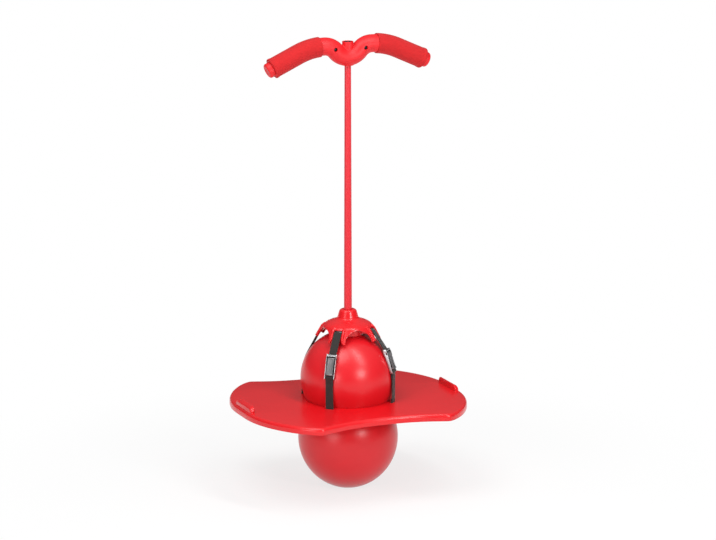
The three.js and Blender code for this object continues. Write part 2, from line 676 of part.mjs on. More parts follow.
function makeUpperStrap(name) {
  const entry = onBuckle(strapOnPlate, FRAME_TOP + STRAP_ENTRY_PLAY);
  const tail = onBuckle(strapOnPlate, FRAME_LOW + STRAP_TAIL_SHORT);
  return piece(name, strapFromCap([capExit, entry, tail]), blackWebbing);
}

function makeLowerStrap(name) {
  const bar = onBuckle(loopBarOffBall, loopBarUp);
  const start = towards(bar, keeper, barRing - STRAP_THICKNESS / 2);
  const end = towards(keeper, bar, sewnRing - STRAP_THICKNESS / 2);
  const strap = ring(barRing, LOOP_BAR_RADIUS + GAP, STRAP_WIDTH, ...bar)
    .add(keeperLoop(bar))
    .add(solidFrom(webbing([start, end], STRAP_THICKNESS)))
    .add(solidFrom(sewnEnd(bar, keeper, barRing)));
  return piece(name, strap, blackWebbing);
}

// A rear strap has no buckle: it wraps the ball from where it meets it down to the widest place.
function makeRearStrap(name) {
  const wrap = UPPER_LOBE_RADIUS + GAP + STRAP_THICKNESS / 2;
  const [x, z] = [capExit[0], capExit[1] - upperCentre];
  const meets = Math.atan2(z, x) - Math.acos(wrap / Math.hypot(x, z));
  const onBall = arc(0, upperCentre, wrap, wrap, meets, 0, radians(BALL_STEP / 2));
  const widest = onBall[onBall.length - 1];
  const end = towards(keeper, widest, sewnRing - STRAP_THICKNESS / 2);
  const strap = strapFromCap([capExit, ...onBall, end]).add(keeperLoop(widest));
  return piece(name, strap, blackWebbing);
}

function makeStrapPin(name, x, z) {
  return piece(name, solidFrom(rod(STRAP_PIN_RADIUS, -pinHalfLength, pinHalfLength, x, z)), steel);
}

// Buckle pieces use x off the ball, y across the strap and z up the strap.
function makeBuckleFrame(name) {
  const bottom = loopBarUp - LOOP_BAR_RADIUS - LOOP_BAR_WALL;
  const plate = block(GAP, framePlateTop, -earOuter, earOuter, FRAME_LOW, FRAME_TOP);
  const ear = new THREE.Shape();
  ear.moveTo(GAP, bottom + EAR_ROUNDING);
  ear.quadraticCurveTo(GAP, bottom, GAP + EAR_ROUNDING, bottom);
  ear.lineTo(EAR_END_HEIGHT, bottom);
  ear.lineTo(EAR_END_HEIGHT, FRAME_LOW);
  ear.quadraticCurveTo(EAR_HEIGHT, pivotUp - 3 * CAM_RADIUS, EAR_HEIGHT, pivotUp);
  ear.quadraticCurveTo(EAR_HEIGHT, pivotUp + CAM_RADIUS, EAR_TOP_HEIGHT, FRAME_TOP);
  ear.lineTo(GAP, FRAME_TOP);
  const middle = (earInner + earOuter) / 2;
  const ears = [1, -1].map((side) => slab(ear, EAR_THICKNESS).translate(0, side * middle, 0));
  const bridgeTop = FRAME_TOP - BRIDGE_BELOW_TOP + BRIDGE_HEIGHT / 2;
  const bridgeLow = EAR_TOP_HEIGHT - BRIDGE_THICKNESS;
  const bridge = block(
    bridgeLow, EAR_TOP_HEIGHT, -earOuter, earOuter, bridgeTop - BRIDGE_HEIGHT, bridgeTop,
  );
  const bar = rod(LOOP_BAR_RADIUS, -earOuter, earOuter, loopBarOffBall, loopBarUp);
  const bore = rod(PIVOT_PIN_RADIUS + GAP, -earOuter - SINK, earOuter + SINK, pivotOffBall, pivotUp);
  return piece(name, cut(joined(plate, ...ears, bridge, bar), bore), steel);
}

function makeBucklePin(name) {
  const half = earOuter + GAP;
  const shank = rod(PIVOT_PIN_RADIUS, -half, half, pivotOffBall, pivotUp);
  const heads = [1, -1].map((side) => {
    const [y0, y1] = [side * half, side * (half + PIVOT_HEAD_THICKNESS)].sort((p, q) => p - q);
    return rod(PIVOT_HEAD_RADIUS, y0, y1, pivotOffBall, pivotUp);
  });
  return piece(name, joined(shank, ...heads), darkSteel);
}

// Cam lever: a hub whose nose presses on the webbing, and a thumb plate that lies over the frame.
function makeBuckleLever(name) {
  const hub = rod(CAM_RADIUS, -leverHalfWidth, leverHalfWidth, pivotOffBall, pivotUp, ROUND_SIDES);
  const outer = pivotOffBall + CAM_RADIUS;
  const inner = outer - LEVER_THICKNESS;
  const freeEnd = pivotUp - LEVER_LENGTH;
  const thumb = outline([
    [inner, pivotUp],
    [outer, pivotUp],
    [outer, freeEnd + LEVER_LIP],
    [outer + LEVER_LIP_RISE, freeEnd],
    [inner + LEVER_LIP_RISE, freeEnd],
    [inner, freeEnd + LEVER_LIP],
  ]);
  const bore = rod(PIVOT_PIN_RADIUS + GAP, -STRAP_WIDTH, STRAP_WIDTH, pivotOffBall, pivotUp);
  return piece(name, cut(joined(hub, slab(thumb, 2 * leverHalfWidth)), bore), leverGrey);
}

// The two front straps are tightened by a buckle each, and the two rear straps are plain.
const strapStations = [
  { name: 'rear_right', buckled: false },
  { name: 'rear_left', buckled: false },
  { name: 'front_left', buckled: true },
  { name: 'front_right', buckled: true },
];

function makeStrapStation({ name, buckled }, i) {
  const station = new THREE.Group();
  station.rotation.z = strapAngle(i);
  station.add(
    makeStrapPin(`cap_pin_${name}`, ...capLoop),
    makeStrapPin(`deck_pin_${name}`, ...keeper),
  );
  if (!buckled) {
    station.add(makeRearStrap(`strap_${name}`));
    return station;
  }
  const buckle = new THREE.Group();
  buckle.position.set(buckleSeat[0], 0, buckleSeat[1]);
  buckle.rotation.y = -buckleTilt;
  buckle.add(
    makeBuckleFrame(`buckle_frame_${name}`),
    makeBucklePin(`buckle_pin_${name}`),
    makeBuckleLever(`buckle_lever_${name}`),
  );
  station.add(makeUpperStrap(`upper_strap_${name}`), makeLowerStrap(`lower_strap_${name}`), buckle);
  return station;
}

// Handle line: a dip at the cord, a peak on each side and a long droop to the ends.
const dipAngle = radians(HANDLE_DIP_ANGLE);
const droopAngle = radians(HANDLE_DROOP_ANGLE);
const dipLength = HANDLE_DIP_RADIUS * dipAngle;
const peakLength = 2 * dipLength;
const droopLength = peakLength + HANDLE_DROOP_RADIUS * droopAngle;
const tubeRadius = HANDLE_TUBE_DIAMETER / 2;
const boreRadius = tubeRadius - HANDLE_WALL;
const gripEnd = GRIP_START + GRIP_LENGTH;

// Place of the tube's centre at a distance along it from the dip, negative to the left.
function handleCentre(distance) {
  const side = Math.sign(distance);
  const along = Math.abs(distance);
  const riseAngle = Math.min(along, dipLength) / HANDLE_DIP_RADIUS;
  let x = HANDLE_DIP_RADIUS * Math.sin(riseAngle);
  let z = HANDLE_DIP_HEIGHT + HANDLE_DIP_RADIUS * (1 - Math.cos(riseAngle));
  if (along > dipLength) {
    const left = dipAngle - (Math.min(along, peakLength) - dipLength) / HANDLE_DIP_RADIUS;
    x += HANDLE_DIP_RADIUS * (Math.sin(dipAngle) - Math.sin(left));
    z += HANDLE_DIP_RADIUS * (Math.cos(left) - Math.cos(dipAngle));
  }
  if (along > peakLength) {
    const fall = (Math.min(along, droopLength) - peakLength) / HANDLE_DROOP_RADIUS;
    x += HANDLE_DROOP_RADIUS * Math.sin(fall);
    z -= HANDLE_DROOP_RADIUS * (1 - Math.cos(fall));
  }
  if (along > droopLength) {
    x += (along - droopLength) * Math.cos(droopAngle);
    z -= (along - droopLength) * Math.sin(droopAngle);
  }
  return new THREE.Vector3(side * x, 0, z);
}

class HandleLine extends THREE.Curve {
  constructor(from, to) {
    super();
    this.from = from;
    this.to = to;
  }

  getPoint(t, target = new THREE.Vector3()) {
    return target.copy(handleCentre(this.from + (this.to - this.from) * t));
  }
}

function polygon(radius, sides) {
  return outline(Array.from({ length: sides }, (_, i) => {
    const angle = (i / sides) * 2 * Math.PI;
    return [radius * Math.cos(angle), radius * Math.sin(angle)];
  }));
}

function tube(radius, from, to, steps, sides = TUBE_SIDES) {
  return new THREE.ExtrudeGeometry(polygon(radius, sides), { steps, extrudePath: new HandleLine(from, to) });
}

const cupTop = HANDLE_DIP_HEIGHT + CUP_RISE;
const cupSeat = HANDLE_DIP_HEIGHT + CUP_SEAT_RISE;
const screwHeight = (() => {
  const peak = handleCentre(peakLength);
  return peak.z - HANDLE_DIP_RADIUS + Math.sqrt(HANDLE_DIP_RADIUS ** 2 - (peak.x - SCREW_OFFSET) ** 2);
})();

// The moulded core, split along the middle into a front and a rear half shell.
function makeHandleCore() {
  const bossLength = tubeRadius - SINK;
  const bosses = [1, -1].map((side) => (
    rod(SCREW_BOSS_RADIUS, -bossLength, bossLength, side * SCREW_OFFSET, screwHeight, ROUND_SIDES)
  ));
  let core = solidFrom(tube(tubeRadius, -gripEnd, gripEnd, CORE_STEPS));
  core = cut(core, tube(boreRadius, -gripEnd - SINK, gripEnd + SINK, CORE_STEPS, BORE_SIDES));
  const cup = post(CUP_DIAMETER / 2, HANDLE_DIP_HEIGHT - tubeRadius + SINK, cupTop);
  core = core.add(joined(cup, ...bosses));
  const cordRadius = CORD_UPPER_DIAMETER / 2 + GAP;
  const headRadius = CORD_UPPER_HEAD_DIAMETER / 2 + GAP;
  return cut(
    core,
    post(cordRadius, HANDLE_DIP_HEIGHT - HANDLE_TUBE_DIAMETER, cupSeat + SINK),
    post(headRadius, cupSeat, cupTop + CUT_MARGIN),
    ...[1, -1].flatMap((side) => [
      rod(SCREW_HEAD_RADIUS + GAP, -2 * tubeRadius, SCREW_HEAD_DEPTH - tubeRadius,
        side * SCREW_OFFSET, screwHeight),
      rod(SCREW_RADIUS + GAP, -tubeRadius, SCREW_REACH + GAP, side * SCREW_OFFSET, screwHeight),
    ]),
  );
}

function makeHandleShells() {
  const core = makeHandleCore();
  const reach = HANDLE_DIP_HEIGHT;
  const behind = block(-reach, reach, -GAP / 2, reach, 0, 2 * reach);
  const before = block(-reach, reach, -reach, GAP / 2, 0, 2 * reach);
  return [
    piece('handle_front_shell', cut(core, behind), redPlastic),
    piece('handle_rear_shell', cut(core, before), redPlastic),
  ];
}

function makeScrew(name, side) {
  const headStart = SCREW_HEAD_DEPTH - tubeRadius - GAP - SCREW_HEAD_THICKNESS;
  const headEnd = headStart + SCREW_HEAD_THICKNESS;
  const x = side * SCREW_OFFSET;
  const screw = joined(
    rod(SCREW_HEAD_RADIUS, headStart, headEnd, x, screwHeight),
    rod(SCREW_RADIUS, headStart + SINK, SCREW_REACH, x, screwHeight),
  );
  return piece(name, screw, darkSteel);
}

function makeGrip(name, side) {
  const sleeve = solidFrom(tube(GRIP_DIAMETER / 2, side * GRIP_START, side * gripEnd, GRIP_STEPS))
    .add(solidFrom(tube(GRIP_RIM_DIAMETER / 2, side * (gripEnd - GRIP_RIM_LENGTH), side * gripEnd, 1)));
  const bore = tube(tubeRadius + GAP, side * (GRIP_START - SINK), side * (gripEnd + SINK), GRIP_STEPS);
  return piece(name, cut(sleeve, bore), redFoam);
}

// End plug: a rounded head outside and a stem pushed into the core's bore.
function makeEndPlug(name, side) {
  const start = gripEnd + GAP;
  const stem = boreRadius * Math.cos(Math.PI / BORE_SIDES) - 2 * GAP;
  const radius = END_PLUG_DIAMETER / 2;
  const tip = END_PLUG_LENGTH;
  const profile = [
    [0, -END_PLUG_STEM],
    [stem, -END_PLUG_STEM],
    [stem, 0],
    [radius, 0],
    ...arc(radius - END_PLUG_ROUNDING, tip - END_PLUG_ROUNDING, END_PLUG_ROUNDING, END_PLUG_ROUNDING,
      0, Math.PI / 2, radians(PLUG_STEP)),
    [0, tip],
  ];
  const centre = handleCentre(side * start);
  const plug = revolve(profile, TUBE_SIDES)
    .rotateY(side * (Math.PI / 2 + droopAngle))
    .translate(centre.x, centre.y, centre.z);
  return piece(name, solidFrom(plug), redPlastic);
}

// Pull cord: a tapered elastic cord, flared at both ends over a tapered plug.
const lowerSeat = chamberTop - GAP - WASHER_THICKNESS - GAP;
const lowerEnd = lowerSeat - CORD_HEAD_LENGTH;
const upperSeat = cupSeat + GAP + WASHER_THICKNESS + GAP;
const upperEnd = upperSeat + CORD_UPPER_HEAD_LENGTH;
const lowerRadius = CORD_LOWER_DIAMETER / 2;
const upperRadius = CORD_UPPER_DIAMETER / 2;
const lowerHead = CORD_LOWER_HEAD_DIAMETER / 2;
const upperHead = CORD_UPPER_HEAD_DIAMETER / 2;

// The flared end's recess, as mouth and tip radii and its depth.
function flareRecess(head, radius, depth) {
  return { mouth: head * RECESS_MOUTH, tip: radius * RECESS_TIP, depth };
}

const lowerRecess = flareRecess(lowerHead, lowerRadius, CORD_HEAD_LENGTH);
const upperRecess = flareRecess(upperHead, upperRadius, CORD_UPPER_HEAD_LENGTH);

function makePullCord() {
  const profile = [
    [0, lowerEnd + lowerRecess.depth],
    [lowerRecess.tip, lowerEnd + lowerRecess.depth],
    [lowerRecess.mouth, lowerEnd],
    [lowerHead, lowerEnd],
    [lowerHead, lowerEnd + CORD_HEAD_LENGTH * FLARE_START],
    [lowerRadius, lowerSeat],
    [lowerRadius, capTop],
    [upperRadius, HANDLE_DIP_HEIGHT - tubeRadius],
    [upperRadius, upperSeat],
    [upperHead, upperEnd - CORD_UPPER_HEAD_LENGTH * FLARE_START],
    [upperHead, upperEnd],
    [upperRecess.mouth, upperEnd],
    [upperRecess.tip, upperEnd - upperRecess.depth],
    [0, upperEnd - upperRecess.depth],
  ];
  return piece('pull_cord', solidFrom(revolve(profile, ROUND_SIDES)), redCord);
}

// A tapered plug with a flat head, standing in a flared cord end; it points up or down.
function makeCordPlug(name, recess, headRadius, mouthHeight, direction) {
  const depth = recess.depth - 4 * GAP;
  const profile = [
    [0, -PLUG_HEAD_THICKNESS - GAP],
    [headRadius - PLUG_HEAD_SHORT, -PLUG_HEAD_THICKNESS - GAP],
    [headRadius, -GAP - PLUG_HEAD_THICKNESS / 2],
    [headRadius, -GAP],
    [recess.mouth - GAP, -GAP],
    [recess.mouth - 2 * GAP, GAP],
    [recess.tip, depth],
    [0, depth],
  ];
  const placed = profile.map(([radius, height]) => [radius, mouthHeight + direction * height]);
  return piece(name, solidFrom(revolve(placed, ROUND_SIDES)), darkSteel);
}

function makeWasher(name, bottom, innerRadius, outerRadius) {
  const top = bottom + WASHER_THICKNESS;
  const profile = [
    [innerRadius, bottom],
    [outerRadius, bottom],
    [outerRadius, top],
    [innerRadius, top],
    [innerRadius, bottom],
  ];
  return piece(name, solidFrom(revolve(profile, ROUND_SIDES)), steel);
}

const pogoBall = new THREE.Group();
pogoBall.name = 'pogo_ball';
pogoBall.add(makeBall(), makeValvePlug(), makeDeck(), makeCap());
pogoBall.add(...strapStations.map(makeStrapStation));
pogoBall.add(
  makePullCord(),
  makeWasher('cord_washer_lower', lowerSeat + GAP, lowerRadius + GAP, CAP_CHAMBER_RADIUS - GAP),
  makeCordPlug('cord_plug_lower', lowerRecess, lowerHead - PLUG_HEAD_SHORT, lowerEnd, 1),
  makeWasher('cord_washer_upper', cupSeat + GAP, upperRadius + GAP, upperHead),
  makeCordPlug('cord_plug_upper', upperRecess, upperHead - PLUG_HEAD_SHORT, upperEnd, -1),
  ...makeHandleShells(),
  makeScrew('handle_screw_left', -1),
  makeScrew('handle_screw_right', 1),
  makeGrip('grip_left', -1),
  makeGrip('grip_right', 1),
  makeEndPlug('end_plug_left', -1),
  makeEndPlug('end_plug_right', 1),
);

export default pogoBall;
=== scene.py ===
"""Pogo ball: finished pieces, finishes and a small studio round the solids of the part."""

import math

import bmesh
import bpy
from bpy.props import FloatProperty, FloatVectorProperty, IntProperty, PointerProperty
from mathutils import Matrix, Vector
from mathutils.geometry import interpolate_bezier


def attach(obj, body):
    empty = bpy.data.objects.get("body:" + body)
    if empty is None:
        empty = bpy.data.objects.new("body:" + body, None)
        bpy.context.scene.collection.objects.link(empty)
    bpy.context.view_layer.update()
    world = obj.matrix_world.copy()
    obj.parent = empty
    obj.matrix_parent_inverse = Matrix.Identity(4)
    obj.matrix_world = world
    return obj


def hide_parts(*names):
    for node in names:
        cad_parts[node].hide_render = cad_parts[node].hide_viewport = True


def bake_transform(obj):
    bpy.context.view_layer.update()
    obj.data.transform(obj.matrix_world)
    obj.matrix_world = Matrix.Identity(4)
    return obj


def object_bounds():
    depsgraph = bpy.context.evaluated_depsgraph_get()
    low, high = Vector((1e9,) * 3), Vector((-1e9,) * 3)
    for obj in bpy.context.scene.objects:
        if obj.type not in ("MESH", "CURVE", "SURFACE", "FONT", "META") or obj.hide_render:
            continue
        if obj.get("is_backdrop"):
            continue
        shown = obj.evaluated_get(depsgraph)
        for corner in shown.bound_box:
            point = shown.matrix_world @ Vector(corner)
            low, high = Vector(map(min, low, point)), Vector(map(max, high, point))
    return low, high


bl_info = {
    "name": "Pogo Ball",
    "version": (1, 0, 0),
    "blender": (4, 5, 0),
    "location": "View3D > Sidebar > Pogo Ball",
    "description": "Makes the finished pieces of a pogo ball and a studio to show it in",
    "category": "Object",
}

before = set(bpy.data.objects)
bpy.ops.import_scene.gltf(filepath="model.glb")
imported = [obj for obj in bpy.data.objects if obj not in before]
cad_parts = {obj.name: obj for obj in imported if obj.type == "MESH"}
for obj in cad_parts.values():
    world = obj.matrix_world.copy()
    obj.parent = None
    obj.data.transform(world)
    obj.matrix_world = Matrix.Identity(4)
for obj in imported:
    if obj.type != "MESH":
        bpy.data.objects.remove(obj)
solid_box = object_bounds()

FULL_TURN = 2 * math.pi
MERGE = 1e-6


# Sizes and colours that a user would change

def length(name, millimetres, description):
    return FloatProperty(
        name=name, description=description, default=millimetres / 1000, unit="LENGTH", precision=4
    )


def angle(name, degrees, description):
    return FloatProperty(
        name=name, description=description, default=math.radians(degrees), subtype="ANGLE"
    )


def colour(name, red, green, blue, description):
    return FloatVectorProperty(
        name=name, description=description, default=(red, green, blue), size=3, min=0, max=1, subtype="COLOR"
    )


class BallSizes(bpy.types.PropertyGroup):
    """Sizes of the two-lobed ball and its valve"""

    lower_radius: length("Lower radius", 100, "Radius of the lower lobe")
    lower_depth: length("Lower depth", 105, "Depth of the lower lobe under its widest place")
    upper_radius: length("Upper radius", 95, "Radius of the upper lobe")
    spacing: length("Lobe spacing", 122, "Height of the upper lobe's centre over the lower lobe's")
    waist_fillet: length("Waist fillet", 10, "Radius of the hollow between the lobes")
    floor_patch: length("Floor patch", 20, "Radius of the flat patch that stands on the floor")
    sides: IntProperty(name="Sides", description="Facets round the ball", default=128, min=16)
    valve_radius: length("Valve radius", 7.5, "Radius of the valve plug's head")
    valve_elevation: angle("Valve elevation", 9, "Height angle of the valve on the upper lobe")


class DeckSizes(bpy.types.PropertyGroup):
    """Sizes of the deck"""

    length: length("Length", 460, "Length from end to end")
    width: length("Width", 394, "Width over the shoulders")
    waist_width: length("Waist width", 343, "Width in the middle")
    shoulder: length("Shoulder", 135, "Distance of the shoulders from the middle")
    end_flat: length("End flat", 48, "Length of the straight part of each end")
    above_waist: length("Above waist", 13.8, "Height of the top over the ball's waist")
    depth: length("Depth", 14.5, "Depth of the skirt")
    edge_radius: length("Edge radius", 6.5, "Rounding of the top edge")
    plate: length("Plate", 4.5, "Thickness of the top plate")
    wall: length("Wall", 3.5, "Thickness of the skirt")
    collar_wall: length("Collar wall", 6.5, "Thickness of the collar at the ball")
    collar_depth: length("Collar depth", 25, "Depth of the collar under the top")
    rib: length("Rib", 3, "Thickness of the ribs")
    lip_length: length("Lip length", 80, "Length of the raised lip at each end")
    lip_height: length("Lip height", 13.5, "Height of the raised lip")
    lip_thickness: length("Lip thickness", 9, "Thickness of the raised lip")
    lip_inset: length("Lip inset", 5, "Distance of the lip from the end")
    lip_outer_share: FloatProperty(name="Lip outer share", description="Height of the lip's outer side", default=0.62)


class CrownSizes(bpy.types.PropertyGroup):
    """Sizes of the strap crown, with heights over the top of the ball"""

    rim_radius: length("Rim radius", 64, "Radius at the feet of the legs")
    rim_height: length("Rim height", -14, "Height of the legs' feet")
    shoulder_radius: length("Shoulder radius", 46, "Radius at the shoulder")
    shoulder_height: length("Shoulder height", 17, "Height of the shoulder")
    dome_radius: length("Dome radius", 34, "Radius where the dome starts")
    dome_height: length("Dome height", 21.5, "Height where the dome starts")
    neck_foot_radius: length("Neck foot radius", 21, "Radius at the foot of the neck")
    neck_foot_height: length("Neck foot height", 28.5, "Height of the foot of the neck")
    neck_top_radius: length("Neck top radius", 15.5, "Radius at the top of the neck")
    neck_top_height: length("Neck top height", 44.6, "Height of the top of the neck")
    neck_rounding: length("Neck rounding", 4, "Rounding at the top of the neck")
    wall: length("Wall", 3.5, "Thickness of the wall")
    arch_radius: length("Arch radius", 30, "Radius of the arches between the legs")
    arch_height: length("Arch height", -20, "Height of the arches' centres")
    seat_radius: length("Seat radius", 29, "Inner radius of the ring that sits on the ball")
    seat_wall: length("Seat wall", 4, "Thickness of the ring that sits on the ball")
    slot_height: length("Slot height", 7.5, "Height of the strap slots")
    slot_opening: length("Slot opening", 5.5, "Height of a strap slot's opening")
    notch_rise: length("Notch rise", 10, "Rise of the notch under each leg")
    notch_foot: length("Notch foot", 28, "Width of the notch at a leg's foot")
    ridge_rise: length("Ridge rise", 2, "Height of the ridges beside each strap over the leg")
    ridge_width: length("Ridge width", 4.5, "Width of the ridges beside each strap")
    ridge_taper: length("Ridge taper", 6, "Height over which a ridge runs out above the slot")
    chamber_radius: length("Chamber radius", 13, "Radius of the chamber for the cord's end")
    chamber_height: length("Chamber height", 27, "Height of the chamber's roof")
    boss_inner: length("Boss inner", 31, "Distance of the pin bosses' inner ends from the axis")
    pin_radial: length("Pin radial", 40.5, "Distance of the strap pins from the axis")
    pin_height: length("Pin height", 6, "Height of the strap pins")


class StrapSizes(bpy.types.PropertyGroup):
    """Sizes of the webbing straps, their pins and their buckles"""

    width: length("Width", 16, "Width of the webbing")
    thickness: length("Thickness", 1.6, "Thickness of the webbing")
    pin_radius: length("Pin radius", 2.5, "Radius of the pins in the crown and the deck")
    sewn: length("Sewn length", 14, "Length of the stitched double layer")
    keeper_drop: length("Keeper drop", 4.8, "Depth of the deck's pins under its plate")
    slot_play: length("Slot play", 1, "Play of the webbing in a slot")
    elevation: angle("Buckle elevation", 20.5, "Height angle where a buckle touches the ball")
    frame_low: length("Frame low", -9, "Lower end of a buckle's plate along the strap")
    frame_top: length("Frame top", 32, "Upper end of a buckle's plate along the strap")
    frame_plate: length("Frame plate", 1.2, "Thickness of a buckle's plate")
    bar_radius: length("Bar radius", 1.8, "Radius of the bar that the lower strap loops round")
    bar_below: length("Bar below", 5, "Distance of that bar under the plate")
    bar_lift: length("Bar lift", 1, "Height of that bar over the webbing's middle")
    ear_height: length("Ear height", 8.6, "Height of a buckle's ears over the ball")
    notch_radius: length("Notch radius", 1.5, "Radius of the notches in a buckle's ears")
    lever_share: FloatProperty(name="Lever share", description="Lever's width as a share of its seat", default=0.8)
    stitch_length: length("Stitch length", 2, "Length of a stitch")


class CordSizes(bpy.types.PropertyGroup):
    """Sizes of the elastic pull cord"""

    lower_diameter: length("Lower diameter", 16, "Diameter at the crown")
    upper_diameter: length("Upper diameter", 13, "Diameter at the handle")
    lower_head: length("Lower head", 22, "Diameter of the flared lower end")
    upper_head: length("Upper head", 17.4, "Diameter of the flared upper end")
    lower_head_length: length("Lower head length", 15, "Length of the flared lower end")
    upper_head_length: length("Upper head length", 9, "Length of the flared upper end")
    washer: length("Washer", 2, "Thickness of the washers")


class HandleSizes(bpy.types.PropertyGroup):
    """Sizes of the gull-wing handle"""

    dip_height: length("Dip height", 872, "Height of the tube's middle over the floor at the cord")
    tube: length("Tube", 35.6, "Diameter of the moulded tube")
    dip_radius: length("Dip radius", 32, "Bend radius of the dip and of the peaks")
    dip_angle: angle("Dip angle", 51, "Turn of the tube on each side of the dip")
    droop_radius: length("Droop radius", 134, "Bend radius of the arms")
    droop_angle: angle("Droop angle", 24.5, "Downward slope of the arms' ends")
    grip: length("Grip", 40, "Diameter of the foam grips")
    grip_start: length("Grip start", 67, "Start of a grip along the tube")
    grip_length: length("Grip length", 107.5, "Length of a grip")
    rim: length("Grip rim", 41.4, "Diameter of a grip's end rim")
    rim_length: length("Rim length", 6, "Length of a grip's end rim")
    plug: length("End plug", 30, "Diameter of the end plugs")
    plug_length: length("Plug length", 11, "Length of the end plugs")
    plug_rounding: length("Plug rounding", 4, "Rounding of the end plugs")
    plug_stem: length("Plug stem", 18, "Length of an end plug's stem")
    cup: length("Cup", 22.5, "Diameter of the cup over the cord")
    cup_rise: length("Cup rise", 31, "Height of the cup's top over the tube's middle")
    cup_seat: length("Cup seat", 16, "Height of the cup's seat over the tube's middle")
    screw_offset: length("Screw offset", 32, "Distance of the screws from the middle")
    screw_radius: length("Screw radius", 3.6, "Radius of a screw's head")
    screw_depth: length("Screw depth", 6, "Depth of a screw's seat under the tube's face")
    screw_head: length("Screw head", 2.6, "Thickness of a screw's head")
    screw_reach: length("Screw reach", 8, "Reach of a screw behind the middle")


class Colours(bpy.types.PropertyGroup):
    """Colours of the finishes"""

    vinyl: colour("Vinyl", 0.68, 0.009, 0.016, "Ball")
    plastic: colour("Plastic", 0.73, 0.008, 0.013, "Deck, crown and handle")
    cord: colour("Cord", 0.68, 0.010, 0.022, "Pull cord")
    foam: colour("Foam", 0.53, 0.009, 0.011, "Grips")
    webbing: colour("Webbing", 0.019, 0.016, 0.014, "Straps")
    thread: colour("Thread", 0.016, 0.014, 0.014, "Stitches")
    steel: colour("Steel", 0.50, 0.51, 0.52, "Buckle frames and pins")
    lever: colour("Lever", 0.20, 0.195, 0.20, "Buckle levers")
    dark: colour("Dark steel", 0.05, 0.05, 0.055, "Screws and rivets")


class StudioSizes(bpy.types.PropertyGroup):
    """Camera and light of the studio"""

    camera_place: FloatVectorProperty(
        name="Camera place", description="Place of the camera", default=(-2.787, -6.617, 2.105), unit="LENGTH"
    )
    camera_turn: angle("Camera turn", 23, "Turn of the camera's view to the right of the depth axis")
    camera_pitch: angle("Camera pitch", 13.03, "Downward slope of the camera's view")
    lens: FloatProperty(name="Lens", description="Focal length", default=186.7, min=1, unit="CAMERA")
    horizon_light: FloatProperty(name="Horizon light", description="Light from the surround's walls", default=0.04)
    ceiling_light: FloatProperty(name="Ceiling light", description="Light from the surround's ceiling", default=0.55)
    key_light: FloatProperty(name="Key light", description="Power of the front softbox", default=15, unit="POWER")
    strip_light: FloatProperty(name="Strip light", description="Power of the tall softbox", default=22, unit="POWER")
    top_light: FloatProperty(name="Top light", description="Power of the overhead softbox", default=30, unit="POWER")
    fill_light: FloatProperty(name="Fill light", description="Power of the left softbox", default=16, unit="POWER")


class PogoBall(bpy.types.PropertyGroup):
    """All sizes and colours of the pogo ball"""

    ball: PointerProperty(type=BallSizes)
    deck: PointerProperty(type=DeckSizes)
    crown: PointerProperty(type=CrownSizes)
    straps: PointerProperty(type=StrapSizes)
    cord: PointerProperty(type=CordSizes)
    handle: PointerProperty(type=HandleSizes)
    colours: PointerProperty(type=Colours)
    studio: PointerProperty(type=StudioSizes)


GAP = 0.0003


# Finishes

class Value:
    """A shader value that takes part in Python expressions"""

    def __init__(self, finish, socket):
        self.finish = finish
        self.socket = socket

    def maths(self, operation, first, second=0.0):
        return self.finish.node("ShaderNodeMath", {"operation": operation}, {0: first, 1: second})

    def __add__(self, other):
        return self.maths("ADD", self, other)

    def __radd__(self, other):
        return self.maths("ADD", other, self)

    def __sub__(self, other):
        return self.maths("SUBTRACT", self, other)

    def __rsub__(self, other):
        return self.maths("SUBTRACT", other, self)

    def __mul__(self, other):
        return self.maths("MULTIPLY", self, other)

    def __rmul__(self, other):
        return self.maths("MULTIPLY", other, self)

    def __truediv__(self, other):
        return self.maths("DIVIDE", self, other)

    def __rtruediv__(self, other):
        return self.maths("DIVIDE", other, self)

    def __gt__(self, other):
        return self.maths("GREATER_THAN", self, other)

    def __lt__(self, other):
        return self.maths("LESS_THAN", self, other)

    def sine(self):
        return self.maths("SINE", self)

    def absolute(self):
        return self.maths("ABSOLUTE", self)


